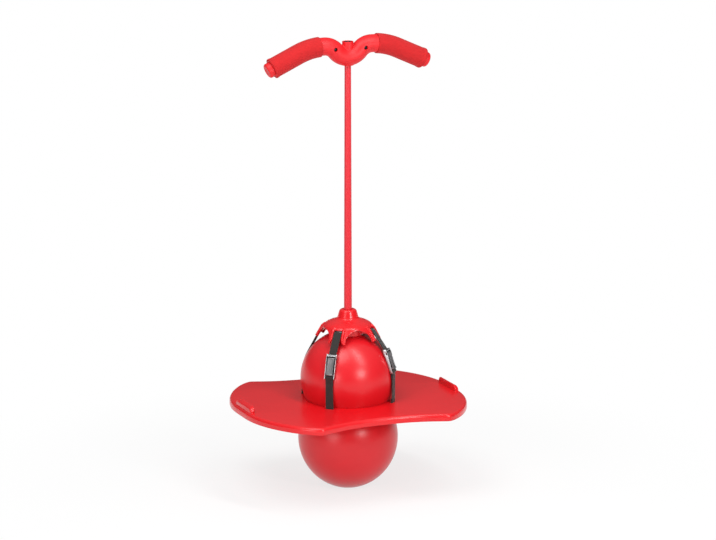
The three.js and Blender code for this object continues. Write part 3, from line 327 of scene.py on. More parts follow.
class Finish:
    """A material under construction"""

    def __init__(self, name, base, roughness, constants):
        self.material = bpy.data.materials.new(name)
        self.material.use_nodes = True
        self.tree = self.material.node_tree
        self.shader = self.tree.nodes["Principled BSDF"]
        self.base = (*base, 1.0)
        self.shader.inputs["Base Color"].default_value = self.base
        self.shader.inputs["Roughness"].default_value = roughness
        for socket, constant in constants.items():
            self.shader.inputs[socket].default_value = constant

    def node(self, kind, settings=None, inputs=None, output=0):
        made = self.tree.nodes.new(kind)
        for name, setting in (settings or {}).items():
            if name == "stops":
                for stop, (place, shade) in zip(made.color_ramp.elements, setting):
                    stop.position = place
                    stop.color = (*shade, 1.0)
            else:
                setattr(made, name, setting)
        for name, value in (inputs or {}).items():
            self.join(value, made.inputs[name])
        return Value(self, made.outputs[output])

    def join(self, value, socket):
        if isinstance(value, Value):
            self.tree.links.new(value.socket, socket)
        else:
            socket.default_value = value

    def set(self, socket, value):
        self.join(value, self.shader.inputs[socket])

    def place(self):
        return self.node("ShaderNodeTexCoord", output="Object")

    def attribute(self, name):
        return self.node("ShaderNodeAttribute", {"attribute_name": name}, output="Fac")

    def noise(self, scale, detail=3.0, stretch=None):
        place = self.place()
        if stretch:
            place = self.node("ShaderNodeMapping", inputs={"Vector": place, "Scale": stretch})
        return self.node(
            "ShaderNodeTexNoise", inputs={"Vector": place, "Scale": scale, "Detail": detail, "Roughness": 0.55}
        )

    def mixed(self, share, first, second):
        return self.node(
            "ShaderNodeMix", {"data_type": "RGBA"}, {"Factor": share, 6: first, 7: second}, output=2
        )

    def shaded(self, share, darker, lighter):
        """Colours the surface between a darker and a lighter tint of its base"""
        low = tuple(channel * darker for channel in self.base[:3]) + (1.0,)
        high = tuple(min(1.0, channel * lighter) for channel in self.base[:3]) + (1.0,)
        self.set("Base Color", self.mixed(share, low, high))

    def bump(self, height, strength, distance):
        self.set(
            "Normal",
            self.node("ShaderNodeBump", inputs={"Height": height, "Strength": strength, "Distance": distance}),
        )


def vinyl_finish(colours):
    """Soft rotational vinyl: even gloss, faint clouds and a fine skin"""
    finish = Finish("red_vinyl_finish", colours.vinyl, 0.30, {"IOR": 1.5})
    clouds = finish.noise(14.0, 4.0)
    skin = finish.noise(700.0, 2.0)
    finish.shaded(clouds, 0.94, 1.05)
    finish.set("Roughness", 0.25 + clouds * 0.08 + skin * 0.04)
    finish.bump(skin, 0.06, 0.0004)
    return finish.material


def plastic_finish(colours):
    """Moulded plastic: satin gloss with a fine spark-eroded grain"""
    finish = Finish("red_plastic_finish", colours.plastic, 0.26, {"IOR": 1.5})
    clouds = finish.noise(9.0, 4.0)
    grain = finish.noise(1300.0, 2.0)
    finish.shaded(clouds, 0.94, 1.05)
    finish.set("Roughness", 0.19 + clouds * 0.06 + grain * 0.07)
    finish.bump(grain, 0.02, 0.0004)
    return finish.material


def satin_finish(colours):
    """The same plastic, dulled by handling"""
    finish = Finish("satin_plastic_finish", colours.plastic, 0.46, {"IOR": 1.45})
    clouds = finish.noise(30.0, 4.0)
    finish.shaded(clouds, 0.92, 1.04)
    finish.set("Roughness", 0.42 + clouds * 0.10)
    return finish.material


def cord_finish(colours):
    """Drawn elastic: streaks along its length"""
    finish = Finish("red_cord_finish", colours.cord, 0.32, {"IOR": 1.5})
    streaks = finish.noise(60.0, 3.0, (12.0, 12.0, 0.6))
    skin = finish.noise(500.0, 2.0)
    finish.shaded(streaks, 0.92, 1.06)
    finish.set("Roughness", 0.26 + streaks * 0.12)
    finish.bump(streaks + skin * 0.3, 0.10, 0.0005)
    return finish.material


def foam_finish(colours):
    """Closed-cell foam: matt, with fine open pores"""
    finish = Finish("red_foam_finish", colours.foam, 0.75, {"Sheen Weight": 0.08, "Sheen Roughness": 0.5, "Specular IOR Level": 0.3})
    pores = finish.node("ShaderNodeTexVoronoi", {"feature": "F1"}, {"Vector": finish.place(), "Scale": 900.0})
    clouds = finish.noise(40.0, 4.0)
    finish.shaded(clouds * 0.6 + pores * 0.6, 0.86, 1.10)
    finish.set("Roughness", 0.66 + pores * 0.25)
    finish.bump(pores, 0.5, 0.0006)
    return finish.material


def webbing_finish(colours):
    """Flat woven webbing: ribs across the strap and a fine weft along it"""
    finish = Finish("black_webbing_finish", colours.webbing, 0.85, {"Sheen Weight": 0.3, "Sheen Roughness": 0.4})
    along = finish.attribute("along")
    across = finish.attribute("across")
    warp = (across * 5200.0).sine()
    shift = (warp > 0.0) * math.pi
    weft = (along * 3900.0 + shift).sine()
    weave = weft * 0.6 + (warp * weft) * 0.4
    fuzz = finish.noise(1500.0, 2.0)
    finish.shaded(weave * 0.3 + 0.35 + fuzz * 0.3, 0.6, 1.7)
    finish.set("Roughness", 0.78 + fuzz * 0.16)
    finish.bump(weave + fuzz * 0.4, 0.5, 0.0004)
    return finish.material


def thread_finish(colours):
    """Twisted polyester thread"""
    finish = Finish("black_thread_finish", colours.thread, 0.6, {"Sheen Weight": 0.2})
    twist = finish.noise(2400.0, 2.0)
    finish.shaded(twist, 0.7, 1.8)
    finish.bump(twist, 0.4, 0.0002)
    return finish.material


def steel_finish(colours):
    """Pressed bright steel with faint drawing lines"""
    finish = Finish("bright_steel_finish", colours.steel, 0.3, {"Metallic": 1.0})
    lines = finish.noise(220.0, 3.0, (1.0, 1.0, 14.0))
    smudges = finish.noise(90.0, 3.0)
    finish.shaded(lines * 0.5 + smudges * 0.5, 0.82, 1.08)
    finish.set("Roughness", 0.20 + lines * 0.14 + smudges * 0.10)
    finish.bump(lines, 0.08, 0.0002)
    return finish.material


def lever_finish(colours):
    """Grey burnished steel of the buckle levers"""
    finish = Finish("lever_steel_finish", colours.lever, 0.42, {"Metallic": 0.75})
    lines = finish.noise(260.0, 3.0, (14.0, 14.0, 1.0))
    scuffs = finish.noise(600.0, 4.0)
    finish.shaded(lines * 0.6 + scuffs * 0.4, 0.75, 1.25)
    finish.set("Roughness", 0.34 + lines * 0.14 + scuffs * 0.08)
    finish.bump(lines + scuffs * 0.5, 0.10, 0.0002)
    return finish.material


def dark_steel_finish(colours):
    """Dark oxide steel of the screws and rivets"""
    finish = Finish("dark_steel_finish", colours.dark, 0.45, {"Metallic": 0.85})
    scuffs = finish.noise(800.0, 3.0)
    finish.shaded(scuffs, 0.6, 1.6)
    finish.set("Roughness", 0.36 + scuffs * 0.2)
    finish.bump(scuffs, 0.1, 0.0002)
    return finish.material


FINISHES = {
    "red_vinyl": vinyl_finish,
    "red_plastic": plastic_finish,
    "satin_plastic": satin_finish,
    "red_cord": cord_finish,
    "red_foam": foam_finish,
    "black_webbing": webbing_finish,
    "black_thread": thread_finish,
    "bright_steel": steel_finish,
    "lever_steel": lever_finish,
    "dark_steel": dark_steel_finish,
}


def finish_of(context, name):
    made = bpy.data.materials.get(name + "_finish")
    return made or FINISHES[name](context.scene.pogo_ball.colours)


# Mesh helpers

def spun(profile, sides):
    """A profile of radius and height, turned round the Z axis"""
    shape = bmesh.new()
    points = [shape.verts.new((radius, 0, height)) for radius, height in profile]
    edges = [shape.edges.new(pair) for pair in zip(points, points[1:])]
    bmesh.ops.spin(
        shape, geom=points + edges, cent=(0, 0, 0), axis=(0, 0, 1), dvec=(0, 0, 0),
        angle=FULL_TURN, steps=sides, use_merge=True,
    )
    closed(shape)
    return shape


def closed(shape):
    bmesh.ops.remove_doubles(shape, verts=shape.verts[:], dist=MERGE)
    bmesh.ops.dissolve_degenerate(shape, dist=MERGE, edges=shape.edges[:])
    bmesh.ops.recalc_face_normals(shape, faces=shape.faces[:])


def swept(section, stations, ends="cap"):
    """A closed section of x, y points carried through a row of placing matrices"""
    shape = bmesh.new()
    first = [shape.verts.new(stations[0] @ Vector((x, y, 0))) for x, y in section]
    ring = [shape.edges.new((a, b)) for a, b in zip(first, first[1:] + first[:1])]
    opening = list(ring)
    for before, after in zip(stations, stations[1:]):
        made = bmesh.ops.extrude_edge_only(shape, edges=ring)["geom"]
        moved = {item for item in made if isinstance(item, bmesh.types.BMVert)}
        ring = [
            item for item in made
            if isinstance(item, bmesh.types.BMEdge) and all(point in moved for point in item.verts)
        ]
        bmesh.ops.transform(shape, matrix=after @ before.inverted(), verts=list(moved))
    if ends == "cap":
        bmesh.ops.contextual_create(shape, geom=opening)
        bmesh.ops.contextual_create(shape, geom=ring)
    else:
        bmesh.ops.bridge_loops(shape, edges=opening + ring)
    bmesh.ops.recalc_face_normals(shape, faces=shape.faces[:])
    return shape


def circle(sides):
    turns = [FULL_TURN * i / sides for i in range(sides)]
    return [(math.cos(turn), math.sin(turn)) for turn in turns]


def plate(points, bottom, top):
    """An outline of x, y points given a height"""
    shape = bmesh.new()
    face = shape.faces.new([shape.verts.new((x, y, bottom)) for x, y in points])
    made = bmesh.ops.extrude_face_region(shape, geom=[face])["geom"]
    raised = [item for item in made if isinstance(item, bmesh.types.BMVert)]
    bmesh.ops.translate(shape, vec=(0, 0, top - bottom), verts=raised)
    bmesh.ops.recalc_face_normals(shape, faces=shape.faces[:])
    return shape


def block(low, high):
    """A box between two corners"""
    shape = bmesh.new()
    bmesh.ops.create_cube(shape, size=1)
    low, high = Vector(low), Vector(high)
    bmesh.ops.scale(shape, vec=high - low, verts=shape.verts[:])
    bmesh.ops.translate(shape, vec=(low + high) / 2, verts=shape.verts[:])
    return shape


def rod(radius, start, end, sides=32):
    """A round bar between two points"""
    shape = bmesh.new()
    start, end = Vector(start), Vector(end)
    along = end - start
    turn = along.to_track_quat("Z", "Y").to_matrix().to_4x4()
    bmesh.ops.create_cone(
        shape, cap_ends=True, segments=sides, radius1=radius, radius2=radius, depth=along.length,
        matrix=Matrix.Translation((start + end) / 2) @ turn,
    )
    return shape


def turned(shape, matrix):
    bmesh.ops.transform(shape, matrix=matrix, verts=shape.verts[:])
    return shape


def about_z(turn):
    return Matrix.Rotation(turn, 4, "Z")


def rounded_edges(shape, edges, radius, segments=3):
    bmesh.ops.bevel(
        shape, geom=edges, offset=radius, offset_type="OFFSET", segments=segments, profile=0.5,
        affect="EDGES", clamp_overlap=True, material=-1,
    )


def sharp_edges(shape, least):
    return [edge for edge in shape.edges if len(edge.link_faces) == 2 and edge.calc_face_angle(0) > least]


def scratch(shape, name):
    mesh = bpy.data.meshes.new(name)
    shape.to_mesh(mesh)
    shape.free()
    made = bpy.data.objects.new(name, mesh)
    bpy.context.scene.collection.objects.link(made)
    return made


def discard(made):
    mesh = made.data
    bpy.data.objects.remove(made)
    bpy.data.meshes.remove(mesh)


def evaluated(made):
    shape = bmesh.new()
    shape.from_object(made, bpy.context.evaluated_depsgraph_get())
    return shape


def combined(shape, *steps):
    """Joins shapes to a shape and cuts shapes from it, in order"""
    whole = scratch(shape, "whole")
    tools = []
    for operation, tool in steps:
        tools.append(scratch(tool, "tool"))
        change = whole.modifiers.new("change", "BOOLEAN")
        change.operation = operation
        change.solver = "EXACT"
        change.object = tools[-1]
    result = evaluated(whole)
    for made in [whole, *tools]:
        discard(made)
    return result


def largest_part(shape):
    """Removes the crumbs that cutting leaves beside the main part"""
    parts = []
    left = set(shape.verts)
    while left:
        waiting = [left.pop()]
        part = []
        while waiting:
            vert = waiting.pop()
            part.append(vert)
            near = {edge.other_vert(vert) for edge in vert.link_edges} & left
            left -= near
            waiting.extend(near)
        parts.append(part)
    parts.sort(key=len)
    crumbs = [vert for part in parts[:-1] for vert in part]
    bmesh.ops.delete(shape, geom=crumbs, context="VERTS")
    return shape


def moulded(shape, voxel, rounds):
    """A joined shape with an even skin and its edges softened, as moulded plastic has them"""
    exact = scratch(shape.copy(), "exact")
    whole = scratch(shape, "whole")
    skin = whole.modifiers.new("skin", "REMESH")
    skin.mode = "VOXEL"
    skin.voxel_size = voxel
    settle = whole.modifiers.new("settle", "SHRINKWRAP")
    settle.target = exact
    soften = whole.modifiers.new("soften", "SMOOTH")
    soften.factor = 0.5
    soften.iterations = rounds
    result = largest_part(evaluated(whole))
    discard(whole)
    discard(exact)
    return result


def sliced(shape, place, normal):
    """Keeps what lies behind a plane and closes the cut"""
    cut = bmesh.ops.bisect_plane(
        shape, geom=shape.verts[:] + shape.edges[:] + shape.faces[:], dist=MERGE,
        plane_co=place, plane_no=normal, clear_outer=True,
    )["geom_cut"]
    rim = [item for item in cut if isinstance(item, bmesh.types.BMEdge)]
    bmesh.ops.holes_fill(shape, edges=rim, sides=0)
    bmesh.ops.recalc_face_normals(shape, faces=shape.faces[:])
    return shape


def solid_copy(node):
    """The shape of a solid with its flat faces whole again"""
    shape = bmesh.new()
    shape.from_mesh(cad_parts[node].data)
    bmesh.ops.remove_doubles(shape, verts=shape.verts[:], dist=1e-5)
    bmesh.ops.dissolve_limit(
        shape, angle_limit=math.radians(1), verts=shape.verts[:], edges=shape.edges[:],
    )
    return shape


def finished(context, shape, name, body, slot, finish, nodes=(), sharp=35):
    """Makes the piece: its mesh, its finish, the body it rides on and the solids it stands for"""
    mesh = bpy.data.meshes.new(name)
    shape.to_mesh(mesh)
    shape.free()
    mesh.shade_smooth()
    mesh.set_sharp_from_angle(angle=math.radians(sharp))
    mesh.materials.append(finish_of(context, finish))
    piece = bpy.data.objects.new(name, mesh)
    context.scene.collection.objects.link(piece)
    if body:
        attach(piece, body)
    if nodes:
        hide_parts(*nodes)
    return piece


# Shapes that several pieces share

def arc(centre, radii, start, end, step):
    """Points on an elliptical arc, both ends included"""
    count = max(1, math.ceil(abs(end - start) / step - MERGE))
    turns = [start + (end - start) * i / count for i in range(count + 1)]
    return [(centre[0] + radii[0] * math.cos(turn), centre[1] + radii[1] * math.sin(turn)) for turn in turns]


class BallShape:
    """Heights and outline of the ball"""

    def __init__(self, sizes):
        self.sizes = sizes
        self.lower = sizes.lower_depth * math.sqrt(1 - (sizes.floor_patch / sizes.lower_radius) ** 2)
        self.upper = self.lower + sizes.spacing
        self.top = self.upper + sizes.upper_radius
        lower_reach = sizes.lower_radius + sizes.waist_fillet
        upper_reach = sizes.upper_radius + sizes.waist_fillet
        self.rise = (sizes.spacing ** 2 + lower_reach ** 2 - upper_reach ** 2) / (2 * sizes.spacing)
        self.waist = self.lower + self.rise
        self.fillet_centre = math.sqrt(lower_reach ** 2 - self.rise ** 2)

    def outline(self, grow=0.0, step=math.radians(3)):
        sizes = self.sizes
        depth = sizes.lower_depth + grow
        fillet = sizes.waist_fillet - grow
        lower = sizes.lower_radius + grow
        upper = sizes.upper_radius + grow
        floor_turn = math.asin((self.lower + grow) / depth)
        lower_join = math.atan2(self.rise, self.fillet_centre)
        upper_join = math.atan2(sizes.spacing - self.rise, self.fillet_centre)
        return [
            (0, -grow),
            *arc((0, self.lower), (lower, depth), -floor_turn, 0, step),
            *arc((0, self.lower), (lower, lower), 0, lower_join, step)[1:],
            *arc((self.fillet_centre, self.waist), (fillet, fillet),
                 math.pi + lower_join, math.pi - upper_join, 3 * step)[1:],
            *arc((0, self.upper), (upper, upper), -upper_join, math.pi / 2, step)[1:-1],
            (0, self.upper + upper),
        ]

    def radius_at(self, height):
        upper = height > self.waist
        radius = self.sizes.upper_radius if upper else self.sizes.lower_radius
        return math.sqrt(radius ** 2 - (height - (self.upper if upper else self.lower)) ** 2)


class DeckShape:
    """Heights and outline of the deck, and the places of its strap pins"""

    def __init__(self, sizes, straps, ball):
        self.sizes = sizes
        self.top = ball.waist + sizes.above_waist
        self.rim = self.top - sizes.depth
        self.underside = self.top - sizes.plate
        self.collar_bottom = self.top - sizes.collar_depth
        self.collar = max(ball.radius_at(self.top), ball.radius_at(self.collar_bottom)) + GAP + sizes.collar_wall
        self.slot = self.collar + straps.pin_radius + straps.thickness + 2 * GAP
        self.keeper = (self.slot, self.underside - straps.keeper_drop)

    def outline(self, inset=0.0):
        sizes = self.sizes
        end = sizes.length / 2 - inset
        waist = sizes.waist_width / 2 - inset
        shoulder = sizes.width / 2 - inset
        flat = sizes.end_flat / 2
        at = sizes.shoulder
        side = interpolate_bezier((0, waist, 0), (at * 0.66, waist, 0), (at * 0.9, shoulder, 0), (at, shoulder, 0), 18)
        corner = interpolate_bezier(
            (at, shoulder, 0), (at + (end - at) * 0.2, shoulder, 0),
            (end - inset / 2, flat + (shoulder - flat) * 0.58, 0), (end, flat, 0), 28,
        )
        quarter = [(point.x, point.y) for point in [*side, *corner[1:]]]
        back = quarter[::-1]
        return [
            *back,
            *[(-x, y) for x, y in quarter[1:]],
            *[(-x, -y) for x, y in back],
            *[(x, -y) for x, y in quarter[1:-1]],
            quarter[-1][:1] + (-quarter[-1][1],),
        ]


STRAP_TURNS = {"rear_right": 45, "rear_left": 135, "front_left": 225, "front_right": 315}


class StrapLine:
    """Places along the straps in the plane of one strap, as radius and height"""

    def __init__(self, pogo):
        self.straps = pogo.straps
        self.crown = pogo.crown
        self.ball = BallShape(pogo.ball)
        self.deck = DeckShape(pogo.deck, pogo.straps, self.ball)
        straps, crown = self.straps, self.crown
        self.tilt = straps.elevation
        self.seat = Vector((
            pogo.ball.upper_radius * math.cos(self.tilt),
            self.ball.upper + pogo.ball.upper_radius * math.sin(self.tilt),
        ))
        self.on_plate = 2 * GAP + straps.frame_plate + straps.thickness / 2
        self.bar = self.on_buckle(self.on_plate + straps.bar_lift, straps.frame_low - straps.bar_below)
        self.keeper = Vector(self.deck.keeper)
        self.cap_pin = Vector((crown.pin_radial, self.ball.top + crown.pin_height))
        slope = (crown.rim_radius - crown.shoulder_radius) / (crown.shoulder_height - crown.rim_height)
        wall = crown.shoulder_radius + slope * (crown.shoulder_height - crown.slot_height)
        clear = (straps.thickness / 2 + 2 * GAP) * math.hypot(1, slope)
        self.exit = Vector((wall + clear, self.ball.top + crown.slot_height))

    def on_buckle(self, off_ball, up):
        out = Vector((math.cos(self.tilt), math.sin(self.tilt)))
        along = Vector((-math.sin(self.tilt), math.cos(self.tilt)))
        return self.seat + out * off_ball + along * up


def rounded_path(points, radius, step=math.radians(12)):
    """A path of straight runs with its corners rounded"""
    made = [Vector(points[0])]
    for before, corner, after in zip(points, points[1:], points[2:]):
        start = (Vector(before) - Vector(corner)).normalized()
        end = (Vector(after) - Vector(corner)).normalized()
        half = start.angle(end) / 2
        back = radius / math.tan(half)
        if back < 1e-5:
            made.append(Vector(corner))
            continue
        first = Vector(corner) + start * back
        last = Vector(corner) + end * back
        count = max(2, math.ceil((math.pi - 2 * half) / step))
        for i in range(count + 1):
            share = i / count
            made.append((first.lerp(Vector(corner), share)).lerp(Vector(corner).lerp(last, share), share))
    made.append(Vector(points[-1]))
    return made


def loop_round(centre, radius, towards, sewn, offset, side):
    """A strap end that lies on the strap, runs round a pin and leads away towards a point"""
    along = (Vector(towards) - Vector(centre)).normalized()
    across = Vector((-along.y, along.x)) * side
    end = Vector(centre) + along * (radius + sewn) - across * offset
    start_turn = math.atan2(-across.y * radius, -across.x * radius)
    count = 16
    sweep = math.pi * side
    turns = [start_turn - sweep * i / count for i in range(count + 1)]
    if (Vector((math.cos(turns[8]), math.sin(turns[8]))).dot(along)) > 0:
        turns = [start_turn + sweep * i / count for i in range(count + 1)]
    around = [Vector(centre) + Vector((math.cos(turn), math.sin(turn))) * radius for turn in turns]
    near = Vector(centre) + along * (radius + 0.002)
    leave = [near + across * offset, Vector(centre) + along * (radius + sewn) + across * offset]
    return [end, near - across * offset, *around, *leave]


def strap_section(width, thickness):
    """Cross-section of the webbing, with thinner woven edges"""
    half, skin = width / 2, thickness / 2
    side = [(half * 0.55, skin), (half * 0.90, skin), (half * 0.97, skin * 0.72), (half, skin * 0.2)]
    top = [(-x, y) for x, y in side[::-1]] + [(0, skin)] + side
    return top + [(x, -y) for x, y in top[::-1]]


def webbing(path, width, thickness, turn):
    """A strap along a path in a strap's plane, with its place along and across for the weave"""
    points = [path[0]]
    for point in path[1:]:
        if (point - points[-1]).length > 1e-5:
            points.append(point)
    stations = []
    distances = []
    travelled = 0.0
    for i, point in enumerate(points):
        before = points[max(0, i - 1)]
        after = points[min(len(points) - 1, i + 1)]
        along = (after - before).normalized()
        out = Vector((along.y, -along.x))
        travelled += (point - before).length
        distances.append(travelled)
        place = Matrix((
            (0, out.x, along.x, point.x),
            (1, 0, 0, 0),
            (0, out.y, along.y, point.y),
            (0, 0, 0, 1),
        ))
        stations.append(about_z(turn) @ place)
    section = strap_section(width, thickness)
    shape = swept(section, stations)
    along_layer = shape.verts.layers.float.new("along")
    across_layer = shape.verts.layers.float.new("across")
    shape.verts.ensure_lookup_table()
    for i, vertex in enumerate(shape.verts):
        vertex[along_layer] = distances[i // len(section)]
        vertex[across_layer] = section[i % len(section)][0]
    return shape


def stitches(line_start, line_end, out, width, turn, stitch, height):
    """A box of stitches with a cross in it, sewn through a double layer"""
    shape = bmesh.new()
    start, end = Vector(line_start), Vector(line_end)
    along = (end - start).normalized()
    run = (end - start).length
    half = width / 2 - 0.0022
    corners = [(-half, 0), (half, 0), (half, run), (-half, run)]
    lines = [*zip(corners, corners[1:] + corners[:1]), (corners[0], corners[2]), (corners[1], corners[3])]
    for first, last in lines:
        first, last = Vector(first), Vector(last)
        count = max(2, round((last - first).length / (stitch * 1.35)))
        way = (last - first).normalized()
        for i in range(count):
            middle = first.lerp(last, (i + 0.5) / count)
            flat = start + along * middle.y
            place = Vector((flat.x + out.x * height, middle.x, flat.y + out.y * height))
            heading = Vector((along.x * way.y, way.x, along.y * way.y))
            normal = Vector((out.x, 0, out.y))
            sideways = heading.cross(normal)
            axes = Matrix((sideways, heading, normal)).transposed().to_4x4()
            size = Matrix.Diagonal((0.00032, stitch / 2, 0.00026, 1))
            bmesh.ops.create_icosphere(
                shape, subdivisions=1, radius=1, matrix=about_z(turn) @ Matrix.Translation(place) @ axes @ size,
            )
    return shape


class HandleShape:
    """The handle's line, as distance along the tube from the dip"""

    def __init__(self, sizes):
        self.sizes = sizes
        self.dip = sizes.dip_radius * sizes.dip_angle
        self.peak = 2 * self.dip
        self.droop = self.peak + sizes.droop_radius * sizes.droop_angle
        self.grip_end = sizes.grip_start + sizes.grip_length

    def centre(self, distance):
        sizes = self.sizes
        along = abs(distance)
        rise = min(along, self.dip) / sizes.dip_radius
        x = sizes.dip_radius * math.sin(rise)
        z = sizes.dip_height + sizes.dip_radius * (1 - math.cos(rise))
        if along > self.dip:
            left = sizes.dip_angle - (min(along, self.peak) - self.dip) / sizes.dip_radius
            x += sizes.dip_radius * (math.sin(sizes.dip_angle) - math.sin(left))
            z += sizes.dip_radius * (math.cos(left) - math.cos(sizes.dip_angle))
        if along > self.peak:
            fall = (min(along, self.droop) - self.peak) / sizes.droop_radius
            x += sizes.droop_radius * math.sin(fall)
            z -= sizes.droop_radius * (1 - math.cos(fall))
        if along > self.droop:
            x += (along - self.droop) * math.cos(sizes.droop_angle)
            z -= (along - self.droop) * math.sin(sizes.droop_angle)
        return Vector((math.copysign(x, distance), 0, z))

    def station(self, distance, radius):
        step = 0.0002
        along = (self.centre(distance + step) - self.centre(distance - step)).normalized()
        side = Vector((0, 1, 0))
        axes = Matrix((side, along.cross(side), along)).transposed().to_4x4()
        return Matrix.Translation(self.centre(distance)) @ axes @ Matrix.Diagonal((radius, radius, 1, 1))

    def screw_height(self):
        peak = self.centre(self.peak)
        radius = self.sizes.dip_radius
        return peak.z - radius + math.sqrt(radius ** 2 - (peak.x - self.sizes.screw_offset) ** 2)


# Operators, one for each group of pieces

class POGO_OT_studio(bpy.types.Operator):
    """Set up the camera, the soft lights and the pale floor"""

    bl_idname = "pogo_ball.studio"
    bl_label = "Studio"

    def execute(self, context):
        studio = context.scene.pogo_ball.studio
        pitch, turn = studio.camera_pitch, studio.camera_turn
        view = Vector((
            math.sin(turn) * math.cos(pitch), math.cos(turn) * math.cos(pitch), -math.sin(pitch),
        ))
        lens = bpy.data.cameras.new("camera")
        lens.sensor_width = 36
        lens.sensor_fit = "HORIZONTAL"
        lens.lens = studio.lens
        lens.clip_end = 250
        camera = bpy.data.objects.new("camera", lens)
        camera.location = studio.camera_place
        camera.rotation_mode = "QUATERNION"
        camera.rotation_quaternion = view.to_track_quat("-Z", "Y")
        context.scene.collection.objects.link(camera)
        context.scene.camera = camera
        self.lamp(context, "front_softbox", (0.40, -2.15, 0.95), (0, 0, 0.24), (0.55, 0.55), studio.key_light)
        self.lamp(context, "strip_softbox", (0.47, -1.2, 2.3), (0, 0, 0.3), (0.3, 2.2), studio.strip_light)
        self.lamp(context, "top_softbox", (-1.1, -0.7, 2.6), (0, 0, 0.3), (1.6, 1.6), studio.top_light)
        self.lamp(context, "fill_softbox", (-2.3, -1.5, 0.7), (0, 0, 0.2), (1.4, 1.0), studio.fill_light)
        self.world(context, studio)
        self.floor(context)
        context.scene.view_settings.view_transform = "Standard"
        return {"FINISHED"}

    def lamp(self, context, name, place, target, size, power):
        light = bpy.data.lights.new(name, "AREA")
        light.shape = "ELLIPSE"
        light.size, light.size_y = size
        light.energy = power
        lamp = bpy.data.objects.new(name, light)
        lamp.location = place
        lamp.rotation_mode = "QUATERNION"
        lamp.rotation_quaternion = (Vector(target) - Vector(place)).to_track_quat("-Z", "Y")
        context.scene.collection.objects.link(lamp)

    def world(self, context, studio):
        """A dim surround that brightens towards the ceiling"""
        world = bpy.data.worlds.new("studio")
        world.use_nodes = True
        tree = world.node_tree
        direction = tree.nodes.new("ShaderNodeTexCoord")
        parts = tree.nodes.new("ShaderNodeSeparateXYZ")
        tree.links.new(direction.outputs["Generated"], parts.inputs[0])
        level = tree.nodes.new("ShaderNodeMapRange")
        level.inputs["To Min"].default_value = studio.horizon_light
        level.inputs["To Max"].default_value = studio.ceiling_light
        tree.links.new(parts.outputs["Z"], level.inputs["Value"])
        tree.links.new(level.outputs[0], tree.nodes["Background"].inputs["Strength"])
        tree.nodes["Background"].inputs["Color"].default_value = (1, 1, 1, 1)
        context.scene.world = world

    def seen_directly(self, tree):
        """True where the camera, a reflection or a clear piece looks at the surroundings"""
        path = tree.nodes.new("ShaderNodeLightPath")
        found = path.outputs["Is Camera Ray"]
        for kind in ("Is Glossy Ray", "Is Transmission Ray"):
            either = tree.nodes.new("ShaderNodeMath")
            either.operation = "MAXIMUM"
            tree.links.new(found, either.inputs[0])
            tree.links.new(path.outputs[kind], either.inputs[1])
            found = either.outputs[0]
        return found

    def floor(self, context):
        shape = bmesh.new()
        bmesh.ops.create_grid(shape, x_segments=1, y_segments=1, size=70)
        mesh = bpy.data.meshes.new("floor")
        shape.to_mesh(mesh)
        shape.free()
        material = bpy.data.materials.new("pale_floor")
        material.use_nodes = True
        tree = material.node_tree
        output = tree.nodes["Material Output"]
        matt = tree.nodes.new("ShaderNodeBsdfDiffuse")
        matt.inputs["Color"].default_value = (0.9, 0.9, 0.9, 1)
        bright = tree.nodes.new("ShaderNodeEmission")
        bright.inputs["Strength"].default_value = 1.0
        # The floor glows less near the ball, which paints a faint grey shade round its base where the real shadow also
        # shows; far off it glows plain white
        place = tree.nodes.new("ShaderNodeTexCoord")
        away = tree.nodes.new("ShaderNodeVectorMath")
        away.operation = "LENGTH"
        tree.links.new(place.outputs["Object"], away.inputs[0])
        glow_with_painted_shade = tree.nodes.new("ShaderNodeMapRange")
        glow_with_painted_shade.interpolation_type = "SMOOTHSTEP"
        glow_with_painted_shade.inputs["From Min"].default_value = 0.2
        glow_with_painted_shade.inputs["From Max"].default_value = 0.9
        glow_with_painted_shade.inputs["To Min"].default_value = 0.76
        glow_with_painted_shade.inputs["To Max"].default_value = 1.0
        tree.links.new(away.outputs["Value"], glow_with_painted_shade.inputs["Value"])
        share = tree.nodes.new("ShaderNodeMath")
        share.operation = "MULTIPLY"
        tree.links.new(self.seen_directly(tree), share.inputs[0])
        tree.links.new(glow_with_painted_shade.outputs[0], share.inputs[1])
        mix = tree.nodes.new("ShaderNodeMixShader")
        tree.links.new(share.outputs[0], mix.inputs[0])
        tree.links.new(matt.outputs[0], mix.inputs[1])
        tree.links.new(bright.outputs[0], mix.inputs[2])
        tree.links.new(mix.outputs[0], output.inputs["Surface"])
        mesh.materials.append(material)
        floor = bpy.data.objects.new("floor", mesh)
        context.scene.collection.objects.link(floor)
        floor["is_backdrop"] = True


class POGO_OT_pull_cord(bpy.types.Operator):
    """Make the elastic pull cord and its flared ends"""

    bl_idname = "pogo_ball.pull_cord"
    bl_label = "Pull cord"

    def execute(self, context):
        pogo = context.scene.pogo_ball
        cord, handle = pogo.cord, pogo.handle
        ball = BallShape(pogo.ball)
        roof = ball.top + pogo.crown.chamber_height
        lower_seat = roof - 2 * GAP - cord.washer
        upper_seat = handle.dip_height + handle.cup_seat + 2 * GAP + cord.washer
        neck = ball.top + pogo.crown.neck_top_height
        entry = handle.dip_height - handle.tube / 2
        lower, upper = cord.lower_diameter / 2, cord.upper_diameter / 2
        count = 72
        heights = [lower_seat + (upper_seat - lower_seat) * i / count for i in range(count + 1)]

        def radius_at(height):
            share = min(1, max(0, (height - neck) / (entry - neck)))
            return lower + (upper - lower) * share

